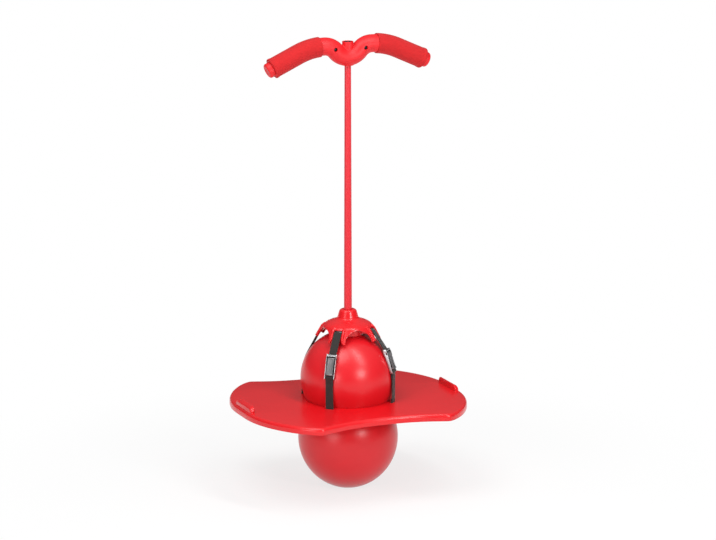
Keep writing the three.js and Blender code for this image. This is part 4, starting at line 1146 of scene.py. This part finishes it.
        stations = [
            Matrix.Translation((0, 0, height)) @ Matrix.Diagonal((radius_at(height), radius_at(height), 1, 1))
            for height in heights
        ]
        shape = swept(circle(40), stations)
        piece = finished(context, shape, "elastic_cord", None, "red_cord", "red_cord", ["pull_cord"], sharp=50)
        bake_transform(piece)
        upper_seat - lower_seat
        low_end = lower_seat - cord.lower_head_length
        flare = [
            (0, low_end), (cord.lower_head / 2 - 0.001, low_end), (cord.lower_head / 2, low_end + 0.001),
            (cord.lower_head / 2, low_end + cord.lower_head_length * 0.45), (lower, lower_seat), (0, lower_seat),
        ]
        finished(context, spun(flare, 48), "cord_flare_lower", "base", "red_cord", "red_cord")
        high_end = upper_seat + cord.upper_head_length
        flare = [
            (0, upper_seat), (upper, upper_seat), (cord.upper_head / 2, high_end - cord.upper_head_length * 0.45),
            (cord.upper_head / 2, high_end - 0.0006), (cord.upper_head / 2 - 0.0006, high_end), (0, high_end),
        ]
        finished(context, spun(flare, 48), "cord_flare_upper", "cord_head", "red_cord", "red_cord")
        return {"FINISHED"}


class POGO_OT_ball(bpy.types.Operator):
    """Make the two-lobed ball and its valve plug"""

    bl_idname = "pogo_ball.ball"
    bl_label = "Ball and valve"

    def execute(self, context):
        pogo = context.scene.pogo_ball
        ball = BallShape(pogo.ball)
        shape = spun(ball.outline(), pogo.ball.sides)
        finished(context, shape, "vinyl_ball", "base", "red_vinyl", "red_vinyl", ["ball"], sharp=60)
        radius, head = pogo.ball.upper_radius, pogo.ball.valve_radius
        face = radius + GAP
        plug = [
            (0, radius - 0.006), (head * 0.55, radius - 0.006), (head * 0.55, face), (head, face),
            (head, face + 0.0006), (head - 0.0008, face + 0.0014), (head * 0.72, face + 0.0016),
            (head * 0.62, face + 0.0011), (head * 0.3, face + 0.0010), (head * 0.22, face + 0.0004),
            (0, face + 0.0003),
        ]
        lie = Matrix.Rotation(math.pi / 2, 4, "Y")
        lift = Matrix.Rotation(-pogo.ball.valve_elevation, 4, "Y")
        place = Matrix.Translation((0, 0, ball.upper)) @ about_z(math.pi / 2) @ lift @ lie
        shape = turned(spun(plug, 48), place)
        finished(context, shape, "valve", "base", "red_vinyl", "red_vinyl", ["valve_plug"])
        return {"FINISHED"}


class POGO_OT_deck(bpy.types.Operator):
    """Make the moulded deck with its collar, ribs, strap slots and end lips"""

    bl_idname = "pogo_ball.deck"
    bl_label = "Deck"

    def execute(self, context):
        pogo = context.scene.pogo_ball
        sizes, straps = pogo.deck, pogo.straps
        ball = BallShape(pogo.ball)
        deck = DeckShape(sizes, straps, ball)
        body = plate(deck.outline(), deck.rim, deck.top)
        top = [edge for edge in body.edges if all(abs(v.co.z - deck.top) < MERGE for v in edge.verts)]
        rounded_edges(body, top, sizes.edge_radius, 6)
        low = [edge for edge in body.edges if all(abs(v.co.z - deck.rim) < MERGE for v in edge.verts)]
        rounded_edges(body, low, 0.001, 2)

        cavity = plate(deck.outline(sizes.wall), deck.rim - 0.01, deck.underside)
        steps = [("DIFFERENCE", cavity)]
        field = deck.outline(sizes.wall * 0.6)
        for turn in (0, 22.5, 67.5, 90, 112.5, 157.5):
            rib = block(
                (-sizes.length, -sizes.rib / 2, deck.rim + 0.002), (sizes.length, sizes.rib / 2, deck.underside + 0.001)
            )
            turned(rib, about_z(math.radians(turn)))
            rib = combined(rib, ("INTERSECT", plate(field, deck.rim - 0.005, deck.top)))
            steps.append(("UNION", rib))
        collar = spun([
            (0, deck.collar_bottom), (deck.collar - 0.001, deck.collar_bottom), (deck.collar, deck.collar_bottom + 0.001),
            (deck.collar, deck.top - sizes.plate / 2), (0, deck.top - sizes.plate / 2),
        ], 96)
        steps.append(("UNION", collar))
        for turn in (0, math.pi):
            steps.append(("UNION", turned(self.lip(sizes, deck.top), about_z(turn))))
        boss_inner = straps.width / 2 + 4 * GAP
        boss_outer = boss_inner + 0.005
        half_slot = straps.width / 2 + straps.slot_play
        half_gap = straps.thickness + straps.slot_play
        for degrees in STRAP_TURNS.values():
            turn = about_z(math.radians(degrees))
            for side in (1, -1):
                low_y, high_y = sorted((side * boss_inner, side * boss_outer))
                boss = block(
                    (deck.slot - 0.00475, low_y, deck.keeper[1] - straps.pin_radius - 0.0018),
                    (deck.slot + 0.00475, high_y, deck.underside + 0.001),
                )
                steps.append(("UNION", turned(boss, turn)))
            slot = block(
                (deck.slot - half_gap, -half_slot, deck.underside - 0.001),
                (deck.slot + half_gap, half_slot, deck.top + 0.01),
            )
            rounded_edges(slot, [e for e in slot.edges if abs(e.verts[0].co.z - e.verts[1].co.z) > 0.001], 0.0015)
            steps.append(("DIFFERENCE", turned(slot, turn)))
            bore = rod(
                straps.pin_radius + GAP, (deck.keeper[0], -boss_outer - 0.001, deck.keeper[1]),
                (deck.keeper[0], boss_outer + 0.001, deck.keeper[1]),
            )
            steps.append(("DIFFERENCE", turned(bore, turn)))
        steps.append(("DIFFERENCE", spun(ball.outline(GAP), pogo.ball.sides)))
        whole = combined(body, *steps)
        finished(context, whole, "moulded_deck", "base", "red_plastic", "red_plastic", ["deck"], sharp=32)
        return {"FINISHED"}

    def lip(self, sizes, top):
        """Raised lip that stops the foot at the deck's end, with its corners and edges rounded"""
        half, height = sizes.lip_length / 2, sizes.lip_height
        corner = height * 0.6
        face = [(-half, -sizes.plate / 2), (half, -sizes.plate / 2)]
        face += [(half, height - corner), (half - corner * 0.35, height - corner * 0.35)]
        face += [(half - corner, height), (corner - half, height)]
        face += [(-half + corner * 0.35, height - corner * 0.35), (-half, height - corner)]
        shape = plate(face, 0, sizes.lip_thickness)
        outer = [vert for vert in shape.verts if vert.co.z > sizes.lip_thickness / 2 and vert.co.y > 0]
        bmesh.ops.scale(shape, vec=(1, sizes.lip_outer_share, 1), verts=outer)
        axes = Matrix(((0, 0, 1, 0), (1, 0, 0, 0), (0, 1, 0, 0), (0, 0, 0, 1)))
        inner = sizes.length / 2 - sizes.lip_inset - sizes.lip_thickness
        turned(shape, Matrix.Translation((inner, 0, top)) @ axes)
        rounded_edges(shape, shape.edges[:], 0.002, 3)
        return shape


class POGO_OT_crown(bpy.types.Operator):
    """Make the strap crown"""

    bl_idname = "pogo_ball.crown"
    bl_label = "Strap crown"

    def profile(self, crown, top, wall):
        shoulder = crown.shoulder_radius - wall
        shoulder_height = top + crown.shoulder_height - wall
        rim, rim_height = crown.rim_radius - wall, top + crown.rim_height
        slope = (rim - shoulder) / (shoulder_height - rim_height)
        flank = shoulder_height - 0.005
        points = [(rim, rim_height), (shoulder + slope * (shoulder_height - flank), flank)]
        end = (crown.dome_radius, top + crown.dome_height - wall)
        return points + self.bend(points[-1], (shoulder, shoulder_height), end)

    def bend(self, start, corner, end, count=10):
        """A quarter bend from one point to another"""
        start, corner, end = Vector(start), Vector(corner), Vector(end)
        places = [i / count for i in range(1, count + 1)]
        return [tuple(start.lerp(corner, s).lerp(corner.lerp(end, s), s)) for s in places]

    def outside(self, crown, top):
        neck_top = top + crown.neck_top_height
        skin = self.profile(crown, top, 0)
        foot = (crown.neck_foot_radius, top + crown.neck_foot_height)
        skin += self.bend(skin[-1], (crown.neck_foot_radius + 0.0016, top + crown.dome_height + 0.003), foot)
        edge = (crown.neck_top_radius + crown.neck_rounding / 2, neck_top - crown.neck_rounding)
        skin.append(edge)
        skin += self.bend(edge, (crown.neck_top_radius, neck_top),
                          (crown.neck_top_radius - crown.neck_rounding, neck_top), 6)
        return spun([(0, skin[0][1]), *skin, (0, neck_top)], 96)

    def ridge(self, crown, top, low_y, high_y):
        """One raised edge along a leg, which the strap runs beside"""
        slope = (crown.rim_radius - crown.shoulder_radius) / (crown.shoulder_height - crown.rim_height)
        foot = crown.rim_height + 4 * GAP
        crest = crown.slot_height + crown.slot_opening / 2
        end = crest + crown.ridge_taper
        sink = crown.wall / 3

        def at(height, rise):
            return (crown.rim_radius - slope * (height - foot) + rise, top + height)

        side = [at(foot, -sink), at(foot, crown.ridge_rise), at(crest, crown.ridge_rise), at(end, -sink)]
        made = plate(side, -high_y, -low_y)
        return turned(made, Matrix(((1, 0, 0, 0), (0, 0, -1, 0), (0, 1, 0, 0), (0, 0, 0, 1))))

    def execute(self, context):
        pogo = context.scene.pogo_ball
        crown, straps = pogo.crown, pogo.straps
        ball = BallShape(pogo.ball)
        top = ball.top
        rim = top + crown.rim_height
        roof = top + crown.chamber_height
        inside = self.profile(crown, top, crown.wall)
        dome_inside = top + crown.dome_height - crown.wall
        hollow = [
            (0, rim - 0.005), (inside[0][0], rim - 0.005), *inside,
            (crown.chamber_radius, dome_inside + 0.002), (crown.chamber_radius, roof), (0, roof),
        ]
        seat_outer = crown.seat_radius + crown.seat_wall
        cut_start, cut_end = seat_outer + 0.002, crown.rim_radius + 0.005
        half = straps.width / 2 + straps.slot_play
        beside = half + crown.ridge_width
        steps = []
        for degrees in STRAP_TURNS.values():
            for low_y, high_y in ((half, beside), (-beside, -half)):
                ridge = self.ridge(crown, top, low_y, high_y)
                steps.append(("UNION", turned(ridge, about_z(math.radians(degrees)))))
        steps.append(("DIFFERENCE", spun(hollow, 96)))
        for degrees in STRAP_TURNS.values():
            turn = math.radians(degrees)
            height = top + crown.arch_height
            arch = rod(crown.arch_radius, (cut_start, 0, height), (cut_end, 0, height), 64)
            steps.append(("DIFFERENCE", turned(arch, about_z(turn - math.pi / 4))))
            low = top + crown.slot_height - crown.slot_opening / 2
            slot = block((cut_start, -half, low), (cut_end, half, low + crown.slot_opening))
            steps.append(("DIFFERENCE", turned(slot, about_z(turn))))
            foot, rise = crown.notch_foot / 2, rim + crown.notch_rise
            notch = plate([(-foot, rim - 0.005), (foot, rim - 0.005), (foot, rim), (half, rise), (-half, rise),
                           (-foot, rim)], cut_start, cut_end)
            axes = Matrix(((0, 0, 1, 0), (1, 0, 0, 0), (0, 1, 0, 0), (0, 0, 0, 1)))
            steps.append(("DIFFERENCE", turned(turned(notch, axes), about_z(turn))))
        seat = spun([
            (crown.seat_radius, rim), (seat_outer, rim), (seat_outer, dome_inside + 0.002),
            (crown.seat_radius, dome_inside + 0.002), (crown.seat_radius, rim),
        ], 96)
        steps.append(("UNION", combined(seat, ("INTERSECT", self.outside(crown, top)))))
        pin = (crown.pin_radial, top + crown.pin_height)
        boss_inner = straps.width / 2 + 4 * GAP
        boss_outer = boss_inner + 0.005
        for degrees in STRAP_TURNS.values():
            turn = about_z(math.radians(degrees))
            for side in (1, -1):
                low_y, high_y = sorted((side * boss_inner, side * boss_outer))
                boss = block(
                    (crown.boss_inner, low_y, pin[1] - straps.pin_radius - 0.003),
                    (pin[0] + straps.pin_radius + 0.002, high_y, top + crown.dome_height),
                )
                boss = combined(turned(boss, turn), ("INTERSECT", self.outside(crown, top)))
                steps.append(("UNION", boss))
            bore = rod(straps.pin_radius + GAP, (pin[0], -boss_outer - 0.001, pin[1]), (pin[0], boss_outer + 0.001, pin[1]))
            steps.append(("DIFFERENCE", turned(bore, turn)))
        cord_bore = rod(
            pogo.cord.lower_diameter / 2 + GAP, (0, 0, roof - 0.001), (0, 0, top + crown.neck_top_height + 0.005), 48
        )
        steps.append(("DIFFERENCE", cord_bore))
        steps.append(("DIFFERENCE", spun(ball.outline(GAP), pogo.ball.sides)))
        whole = combined(self.outside(crown, top), *steps)
        whole = moulded(whole, 0.0009, 3)
        finished(context, whole, "strap_crown", "base", "red_plastic", "red_plastic", ["cap"], sharp=50)
        return {"FINISHED"}


class POGO_OT_straps(bpy.types.Operator):
    """Make the webbing straps with their sewn loops and stitches"""

    bl_idname = "pogo_ball.straps"
    bl_label = "Straps"

    def execute(self, context):
        pogo = context.scene.pogo_ball
        straps = pogo.straps
        line = StrapLine(pogo)
        for name, degrees in STRAP_TURNS.items():
            turn = math.radians(degrees)
            if name.startswith("rear"):
                path = [*self.cap_loop(line), *self.round_ball(pogo, line)]
                self.strap(context, f"rear_webbing_{name[5:]}", path, turn, f"strap_{name}")
                self.sew(context, f"rear_stitches_{name[5:]}", line.keeper, self.widest(pogo, line), turn, straps)
                continue
            entry = line.on_buckle(line.on_plate, straps.frame_top + 0.0005)
            tail = line.on_buckle(line.on_plate, straps.frame_low + 0.002)
            path = [*self.cap_loop(line)[:-1], *rounded_path([line.cap_pin, line.exit, entry, tail], 0.003)[1:]]
            self.strap(context, f"upper_webbing_{name[6:]}", path, turn, f"upper_strap_{name}")
            path = self.between_loops(line, straps)
            self.strap(context, f"lower_webbing_{name[6:]}", path, turn, f"lower_strap_{name}")
            self.sew(context, f"buckle_stitches_{name[6:]}", line.bar, line.keeper, turn, straps)
            self.sew(context, f"deck_stitches_{name[6:]}", line.keeper, line.bar, turn, straps)
        return {"FINISHED"}

    def strap(self, context, name, path, turn, node):
        straps = context.scene.pogo_ball.straps
        shape = webbing(path, straps.width, straps.thickness, turn)
        finished(context, shape, name, "base", "black_webbing", "black_webbing", [node], sharp=60)

    def sew(self, context, name, centre, towards, turn, straps):
        along = (Vector(towards) - Vector(centre)).normalized()
        out = Vector((along.y, -along.x))
        if out.x < 0:
            out = -out
        ring = straps.pin_radius + straps.thickness
        start = Vector(centre) + along * (ring + 0.0025)
        end = Vector(centre) + along * (ring + straps.sewn - 0.0015)
        shape = stitches(start, end, out, straps.width, turn, straps.stitch_length, straps.thickness + 0.00005)
        finished(context, shape, name, "base", "black_webbing", "black_thread", sharp=80)

    def cap_loop(self, line):
        """Round the crown's pin and out through the slot"""
        straps = line.straps
        radius = straps.pin_radius + GAP + straps.thickness / 2
        centre = line.cap_pin
        along = (line.exit - centre).normalized()
        start = math.atan2(along.y, along.x)
        turns = [start + math.radians(30) + math.radians(320) * i / 24 for i in range(25)]
        ring = [centre + Vector((math.cos(turn), math.sin(turn))) * radius for turn in turns]
        return [*ring, line.exit]

    def widest(self, pogo, line):
        return Vector((pogo.ball.upper_radius + GAP + pogo.straps.thickness / 2, line.ball.upper))

    def round_ball(self, pogo, line):
        """From the crown's slot, over the ball, down to the loop under the deck"""
        straps = pogo.straps
        wrap = pogo.ball.upper_radius + GAP + straps.thickness / 2
        reach = line.exit - Vector((0, line.ball.upper))
        meets = math.atan2(reach.y, reach.x) - math.acos(wrap / reach.length)
        over = [Vector(p) for p in arc((0, line.ball.upper), (wrap, wrap), meets, 0, math.radians(2))]
        loop = loop_round(
            line.keeper, straps.pin_radius + GAP + straps.thickness / 2, over[-1],
            straps.sewn, straps.thickness / 2, 1,
        )
        return [*over, *loop[::-1]]

    def between_loops(self, line, straps):
        """From the loop round the buckle's bar to the loop round the deck's pin"""
        upper = loop_round(
            line.bar, straps.bar_radius + GAP + straps.thickness / 2, line.keeper,
            straps.sewn, straps.thickness / 2, 1,
        )
        lower = loop_round(
            line.keeper, straps.pin_radius + GAP + straps.thickness / 2, line.bar,
            straps.sewn, straps.thickness / 2, -1,
        )
        return [*upper, *lower[::-1]]


class POGO_OT_buckles(bpy.types.Operator):
    """Make the buckle frames, their pins and their cam levers"""

    bl_idname = "pogo_ball.buckles"
    bl_label = "Buckles"

    def execute(self, context):
        pogo = context.scene.pogo_ball
        line = StrapLine(pogo)
        for side in ("left", "right"):
            turn = math.radians(STRAP_TURNS[f"front_{side}"])
            frame_shape = combined(solid_copy(f"buckle_frame_front_{side}"), *self.notches(line, turn))
            rounded_edges(frame_shape, sharp_edges(frame_shape, math.radians(25)), 0.0003, 2)
            finished(context, frame_shape, f"buckle_body_{side}", "base", "steel", "bright_steel",
                     [f"buckle_frame_front_{side}"])
            rivet = solid_copy(f"buckle_pin_front_{side}")
            rounded_edges(rivet, sharp_edges(rivet, math.radians(60)), 0.0002, 2)
            finished(context, rivet, f"buckle_rivet_{side}", "base", "dark_steel", "dark_steel",
                     [f"buckle_pin_front_{side}"], sharp=40)
            across = Vector((-math.sin(turn), math.cos(turn), 0))
            lever = solid_copy(f"buckle_lever_front_{side}")
            turned(lever, Matrix.Scale(line.straps.lever_share, 4, across))
            out = Vector((math.cos(turn) * math.cos(line.tilt), math.sin(turn) * math.cos(line.tilt), math.sin(line.tilt)))
            face = max((f for f in lever.faces if f.normal.dot(out) > 0.99), key=lambda f: f.calc_area())
            bmesh.ops.inset_region(lever, faces=[face], thickness=0.0012, depth=0)
            bmesh.ops.inset_region(lever, faces=[face], thickness=0.0003, depth=-0.0004)
            rounded_edges(lever, sharp_edges(lever, math.radians(30)), 0.00025, 2)
            finished(context, lever, f"buckle_thumb_lever_{side}", f"lever_{side}", "lever_steel", "lever_steel",
                     [f"buckle_lever_front_{side}"])
        return {"FINISHED"}


    def notches(self, line, turn):
        """Round notches pressed into the free edges of the ears"""
        straps = line.straps
        half = straps.width
        for up in (-0.004, 0.002, 0.008, 0.014):
            place = line.on_buckle(straps.ear_height, up)
            tool = rod(straps.notch_radius, (place.x, -half, place.y), (place.x, half, place.y), 16)
            yield "DIFFERENCE", turned(tool, about_z(turn))


class POGO_OT_pins(bpy.types.Operator):
    """Make the pins that the straps loop round, and the cord's washers and plugs"""

    bl_idname = "pogo_ball.pins"
    bl_label = "Pins and cord fittings"

    def execute(self, context):
        pogo = context.scene.pogo_ball
        line = StrapLine(pogo)
        half = pogo.straps.width / 2 + 4 * GAP + 0.004
        radius = pogo.straps.pin_radius
        for name, degrees in STRAP_TURNS.items():
            for carrier, centre in (("cap", line.cap_pin), ("deck", line.keeper)):
                bar = rod(radius, (centre.x, -half, centre.y), (centre.x, half, centre.y), 32)
                rounded_edges(bar, sharp_edges(bar, math.radians(60)), 0.0005, 3)
                turned(bar, about_z(math.radians(degrees)))
                finished(context, bar, f"{carrier}_strap_pin_{name}", "base", "steel", "bright_steel",
                         [f"{carrier}_pin_{name}"])
        for node, body, slot, finish in (
            ("cord_washer_lower", "base", "steel", "bright_steel"),
            ("cord_washer_upper", "cord_head", "steel", "bright_steel"),
            ("cord_plug_lower", "base", "dark_steel", "dark_steel"),
            ("cord_plug_upper", "cord_head", "dark_steel", "dark_steel"),
        ):
            shape = solid_copy(node)
            rounded_edges(shape, sharp_edges(shape, math.radians(45)), 0.0003, 2)
            finished(context, shape, f"{node}_turned", body, slot, finish, [node], sharp=40)
        return {"FINISHED"}


class POGO_OT_handle(bpy.types.Operator):
    """Make the handle's two half shells and their screws"""

    bl_idname = "pogo_ball.handle"
    bl_label = "Handle"

    def execute(self, context):
        pogo = context.scene.pogo_ball
        sizes = pogo.handle
        handle = HandleShape(sizes)
        tube = sizes.tube / 2
        count = 120
        end = handle.grip_end
        stations = [handle.station(-end + 2 * end * i / count, tube) for i in range(count + 1)]
        core = swept(circle(48), stations)
        cup_top = sizes.dip_height + sizes.cup_rise
        cup_seat = sizes.dip_height + sizes.cup_seat
        cup = rod(sizes.cup / 2, (0, 0, sizes.dip_height - tube + 0.001), (0, 0, cup_top), 64)
        cord_bore = rod(
            pogo.cord.upper_diameter / 2 + GAP, (0, 0, sizes.dip_height - sizes.tube), (0, 0, cup_seat + 0.001), 48
        )
        head_bore = rod(pogo.cord.upper_head / 2 + GAP, (0, 0, cup_seat), (0, 0, cup_top + 0.005), 48)
        steps = [("UNION", cup), ("DIFFERENCE", cord_bore), ("DIFFERENCE", head_bore)]
        height = handle.screw_height()
        for side in (1, -1):
            x = side * sizes.screw_offset
            seat = rod(
                sizes.screw_radius + GAP, (x, -2 * tube, height), (x, sizes.screw_depth - tube, height), 40
            )
            steps.append(("DIFFERENCE", seat))
        whole = moulded(combined(core, *steps), 0.0010, 3)
        rear = whole.copy()
        front = sliced(whole, (0, -GAP / 2, 0), (0, 1, 0))
        rear = sliced(rear, (0, GAP / 2, 0), (0, -1, 0))
        finished(context, front, "handle_shell_front", "handle", "red_plastic", "satin_plastic",
                 ["handle_front_shell"], sharp=50)
        finished(context, rear, "handle_shell_rear", "handle", "red_plastic", "satin_plastic",
                 ["handle_rear_shell"], sharp=50)
        for side, name in ((-1, "left"), (1, "right")):
            shape = self.screw(sizes, side * sizes.screw_offset, height)
            finished(context, shape, f"cross_screw_{name}", "handle", "dark_steel", "dark_steel",
                     [f"handle_screw_{name}"])
        return {"FINISHED"}

    def screw(self, sizes, x, height):
        """A domed screw with a cross in its head"""
        seat = sizes.screw_depth - sizes.tube / 2 - GAP
        radius, thick = sizes.screw_radius, sizes.screw_head
        dome = [(0, -thick)] + [(radius * math.sin(t), -thick * (0.35 + 0.65 * math.cos(t)))
                                for t in (0.3, 0.6, 0.9, 1.2, math.pi / 2)]
        profile = dome + [(radius, 0), (0.0018, 0), (0.0018, sizes.screw_reach - seat), (0, sizes.screw_reach - seat)]
        shape = spun(profile, 32)
        wide, deep = radius * 0.62, thick * 0.6
        cross = [
            ("DIFFERENCE", block((-wide, -0.0005, -thick - 0.001), (wide, 0.0005, -thick + deep))),
            ("DIFFERENCE", block((-0.0005, -wide, -thick - 0.001), (0.0005, wide, -thick + deep))),
        ]
        shape = combined(shape, *cross)
        lie = Matrix.Rotation(-math.pi / 2, 4, "X")
        return turned(shape, Matrix.Translation((x, seat, height)) @ lie)


class POGO_OT_grips(bpy.types.Operator):
    """Make the foam grips and the end plugs"""

    bl_idname = "pogo_ball.grips"
    bl_label = "Grips and end plugs"

    def execute(self, context):
        sizes = context.scene.pogo_ball.handle
        handle = HandleShape(sizes)
        for side, name in ((-1, "left"), (1, "right")):
            shape = self.grip(sizes, handle, side)
            finished(context, shape, f"foam_grip_{name}", "handle", "red_foam", "red_foam", [f"grip_{name}"])
            shape = self.end_plug(sizes, handle, side)
            finished(context, shape, f"plug_{name}", "handle", "red_plastic", "satin_plastic", [f"end_plug_{name}"])
        return {"FINISHED"}

    def grip(self, sizes, handle, side):
        """A sleeve with a rounded start and a thicker rim at its end"""
        start, end = sizes.grip_start, handle.grip_end
        bore, skin, rim = sizes.tube / 2 + GAP, sizes.grip / 2, sizes.rim / 2
        rim_start = end - sizes.rim_length
        outside = [(start, bore), (start, skin - 0.0008), (start + 0.0003, skin - 0.0003), (start + 0.001, skin)]
        count = 36
        outside += [(start + 0.001 + (rim_start - start - 0.002) * i / count, skin) for i in range(1, count + 1)]
        outside += [(rim_start, rim - 0.0004), (rim_start + 0.0008, rim), (end - 0.0012, rim)]
        outside += [(end - 0.0004, rim - 0.0004), (end, rim - 0.0012), (end, bore)]
        inside = [(end + (start - end) * i / count, bore) for i in range(1, count)]
        stations = [handle.station(side * place, radius) for place, radius in outside + inside]
        return swept(circle(56), stations, ends="bridge")

    def end_plug(self, sizes, handle, side):
        """A rounded head outside the tube with a shallow dished face, and its stem"""
        radius, tip, rounding = sizes.plug / 2, sizes.plug_length, sizes.plug_rounding
        stem = sizes.tube / 2 - 0.0042
        profile = [
            (0, -sizes.plug_stem), (stem, -sizes.plug_stem), (stem, 0), (radius - 0.0006, 0), (radius, 0.0006),
            *arc((radius - rounding, tip - rounding), (rounding, rounding), 0, math.pi / 2, math.radians(10)),
            (radius * 0.55, tip), (radius * 0.5, tip - 0.0005), (0, tip - 0.0005),
        ]
        place = handle.centre(side * (handle.grip_end + GAP))
        tilt = Matrix.Rotation(side * (math.pi / 2 + sizes.droop_angle), 4, "Y")
        return turned(spun(profile, 56), Matrix.Translation(place) @ tilt)


class POGO_PT_panel(bpy.types.Panel):
    """Pieces of the pogo ball"""

    bl_idname = "POGO_PT_panel"
    bl_label = "Pogo Ball"
    bl_space_type = "VIEW_3D"
    bl_region_type = "UI"
    bl_category = "Pogo Ball"

    def draw(self, context):
        for operator in OPERATORS:
            self.layout.operator(operator.bl_idname)


SIZE_GROUPS = (
    BallSizes, DeckSizes, CrownSizes, StrapSizes, CordSizes, HandleSizes, Colours, StudioSizes, PogoBall,
)
OPERATORS = (
    POGO_OT_studio, POGO_OT_pull_cord, POGO_OT_ball, POGO_OT_deck, POGO_OT_crown, POGO_OT_straps,
    POGO_OT_buckles, POGO_OT_pins, POGO_OT_handle, POGO_OT_grips,
)
CLASSES = (*SIZE_GROUPS, *OPERATORS, POGO_PT_panel)


def register():
    for made in CLASSES:
        bpy.utils.register_class(made)
    bpy.types.Scene.pogo_ball = PointerProperty(type=PogoBall)


def unregister():
    del bpy.types.Scene.pogo_ball
    for made in reversed(CLASSES):
        bpy.utils.unregister_class(made)


def main():
    register()
    bpy.ops.pogo_ball.studio()
    bpy.ops.pogo_ball.pull_cord()
    bpy.ops.pogo_ball.ball()
    bpy.ops.pogo_ball.deck()
    bpy.ops.pogo_ball.crown()
    bpy.ops.pogo_ball.straps()
    bpy.ops.pogo_ball.buckles()
    bpy.ops.pogo_ball.pins()
    bpy.ops.pogo_ball.handle()
    bpy.ops.pogo_ball.grips()
    boxes = {"solids": solid_box, "visual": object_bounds()}
    plain = {name: [list(corner) for corner in box] for name, box in boxes.items()}


if __name__ == "__main__":
    main()
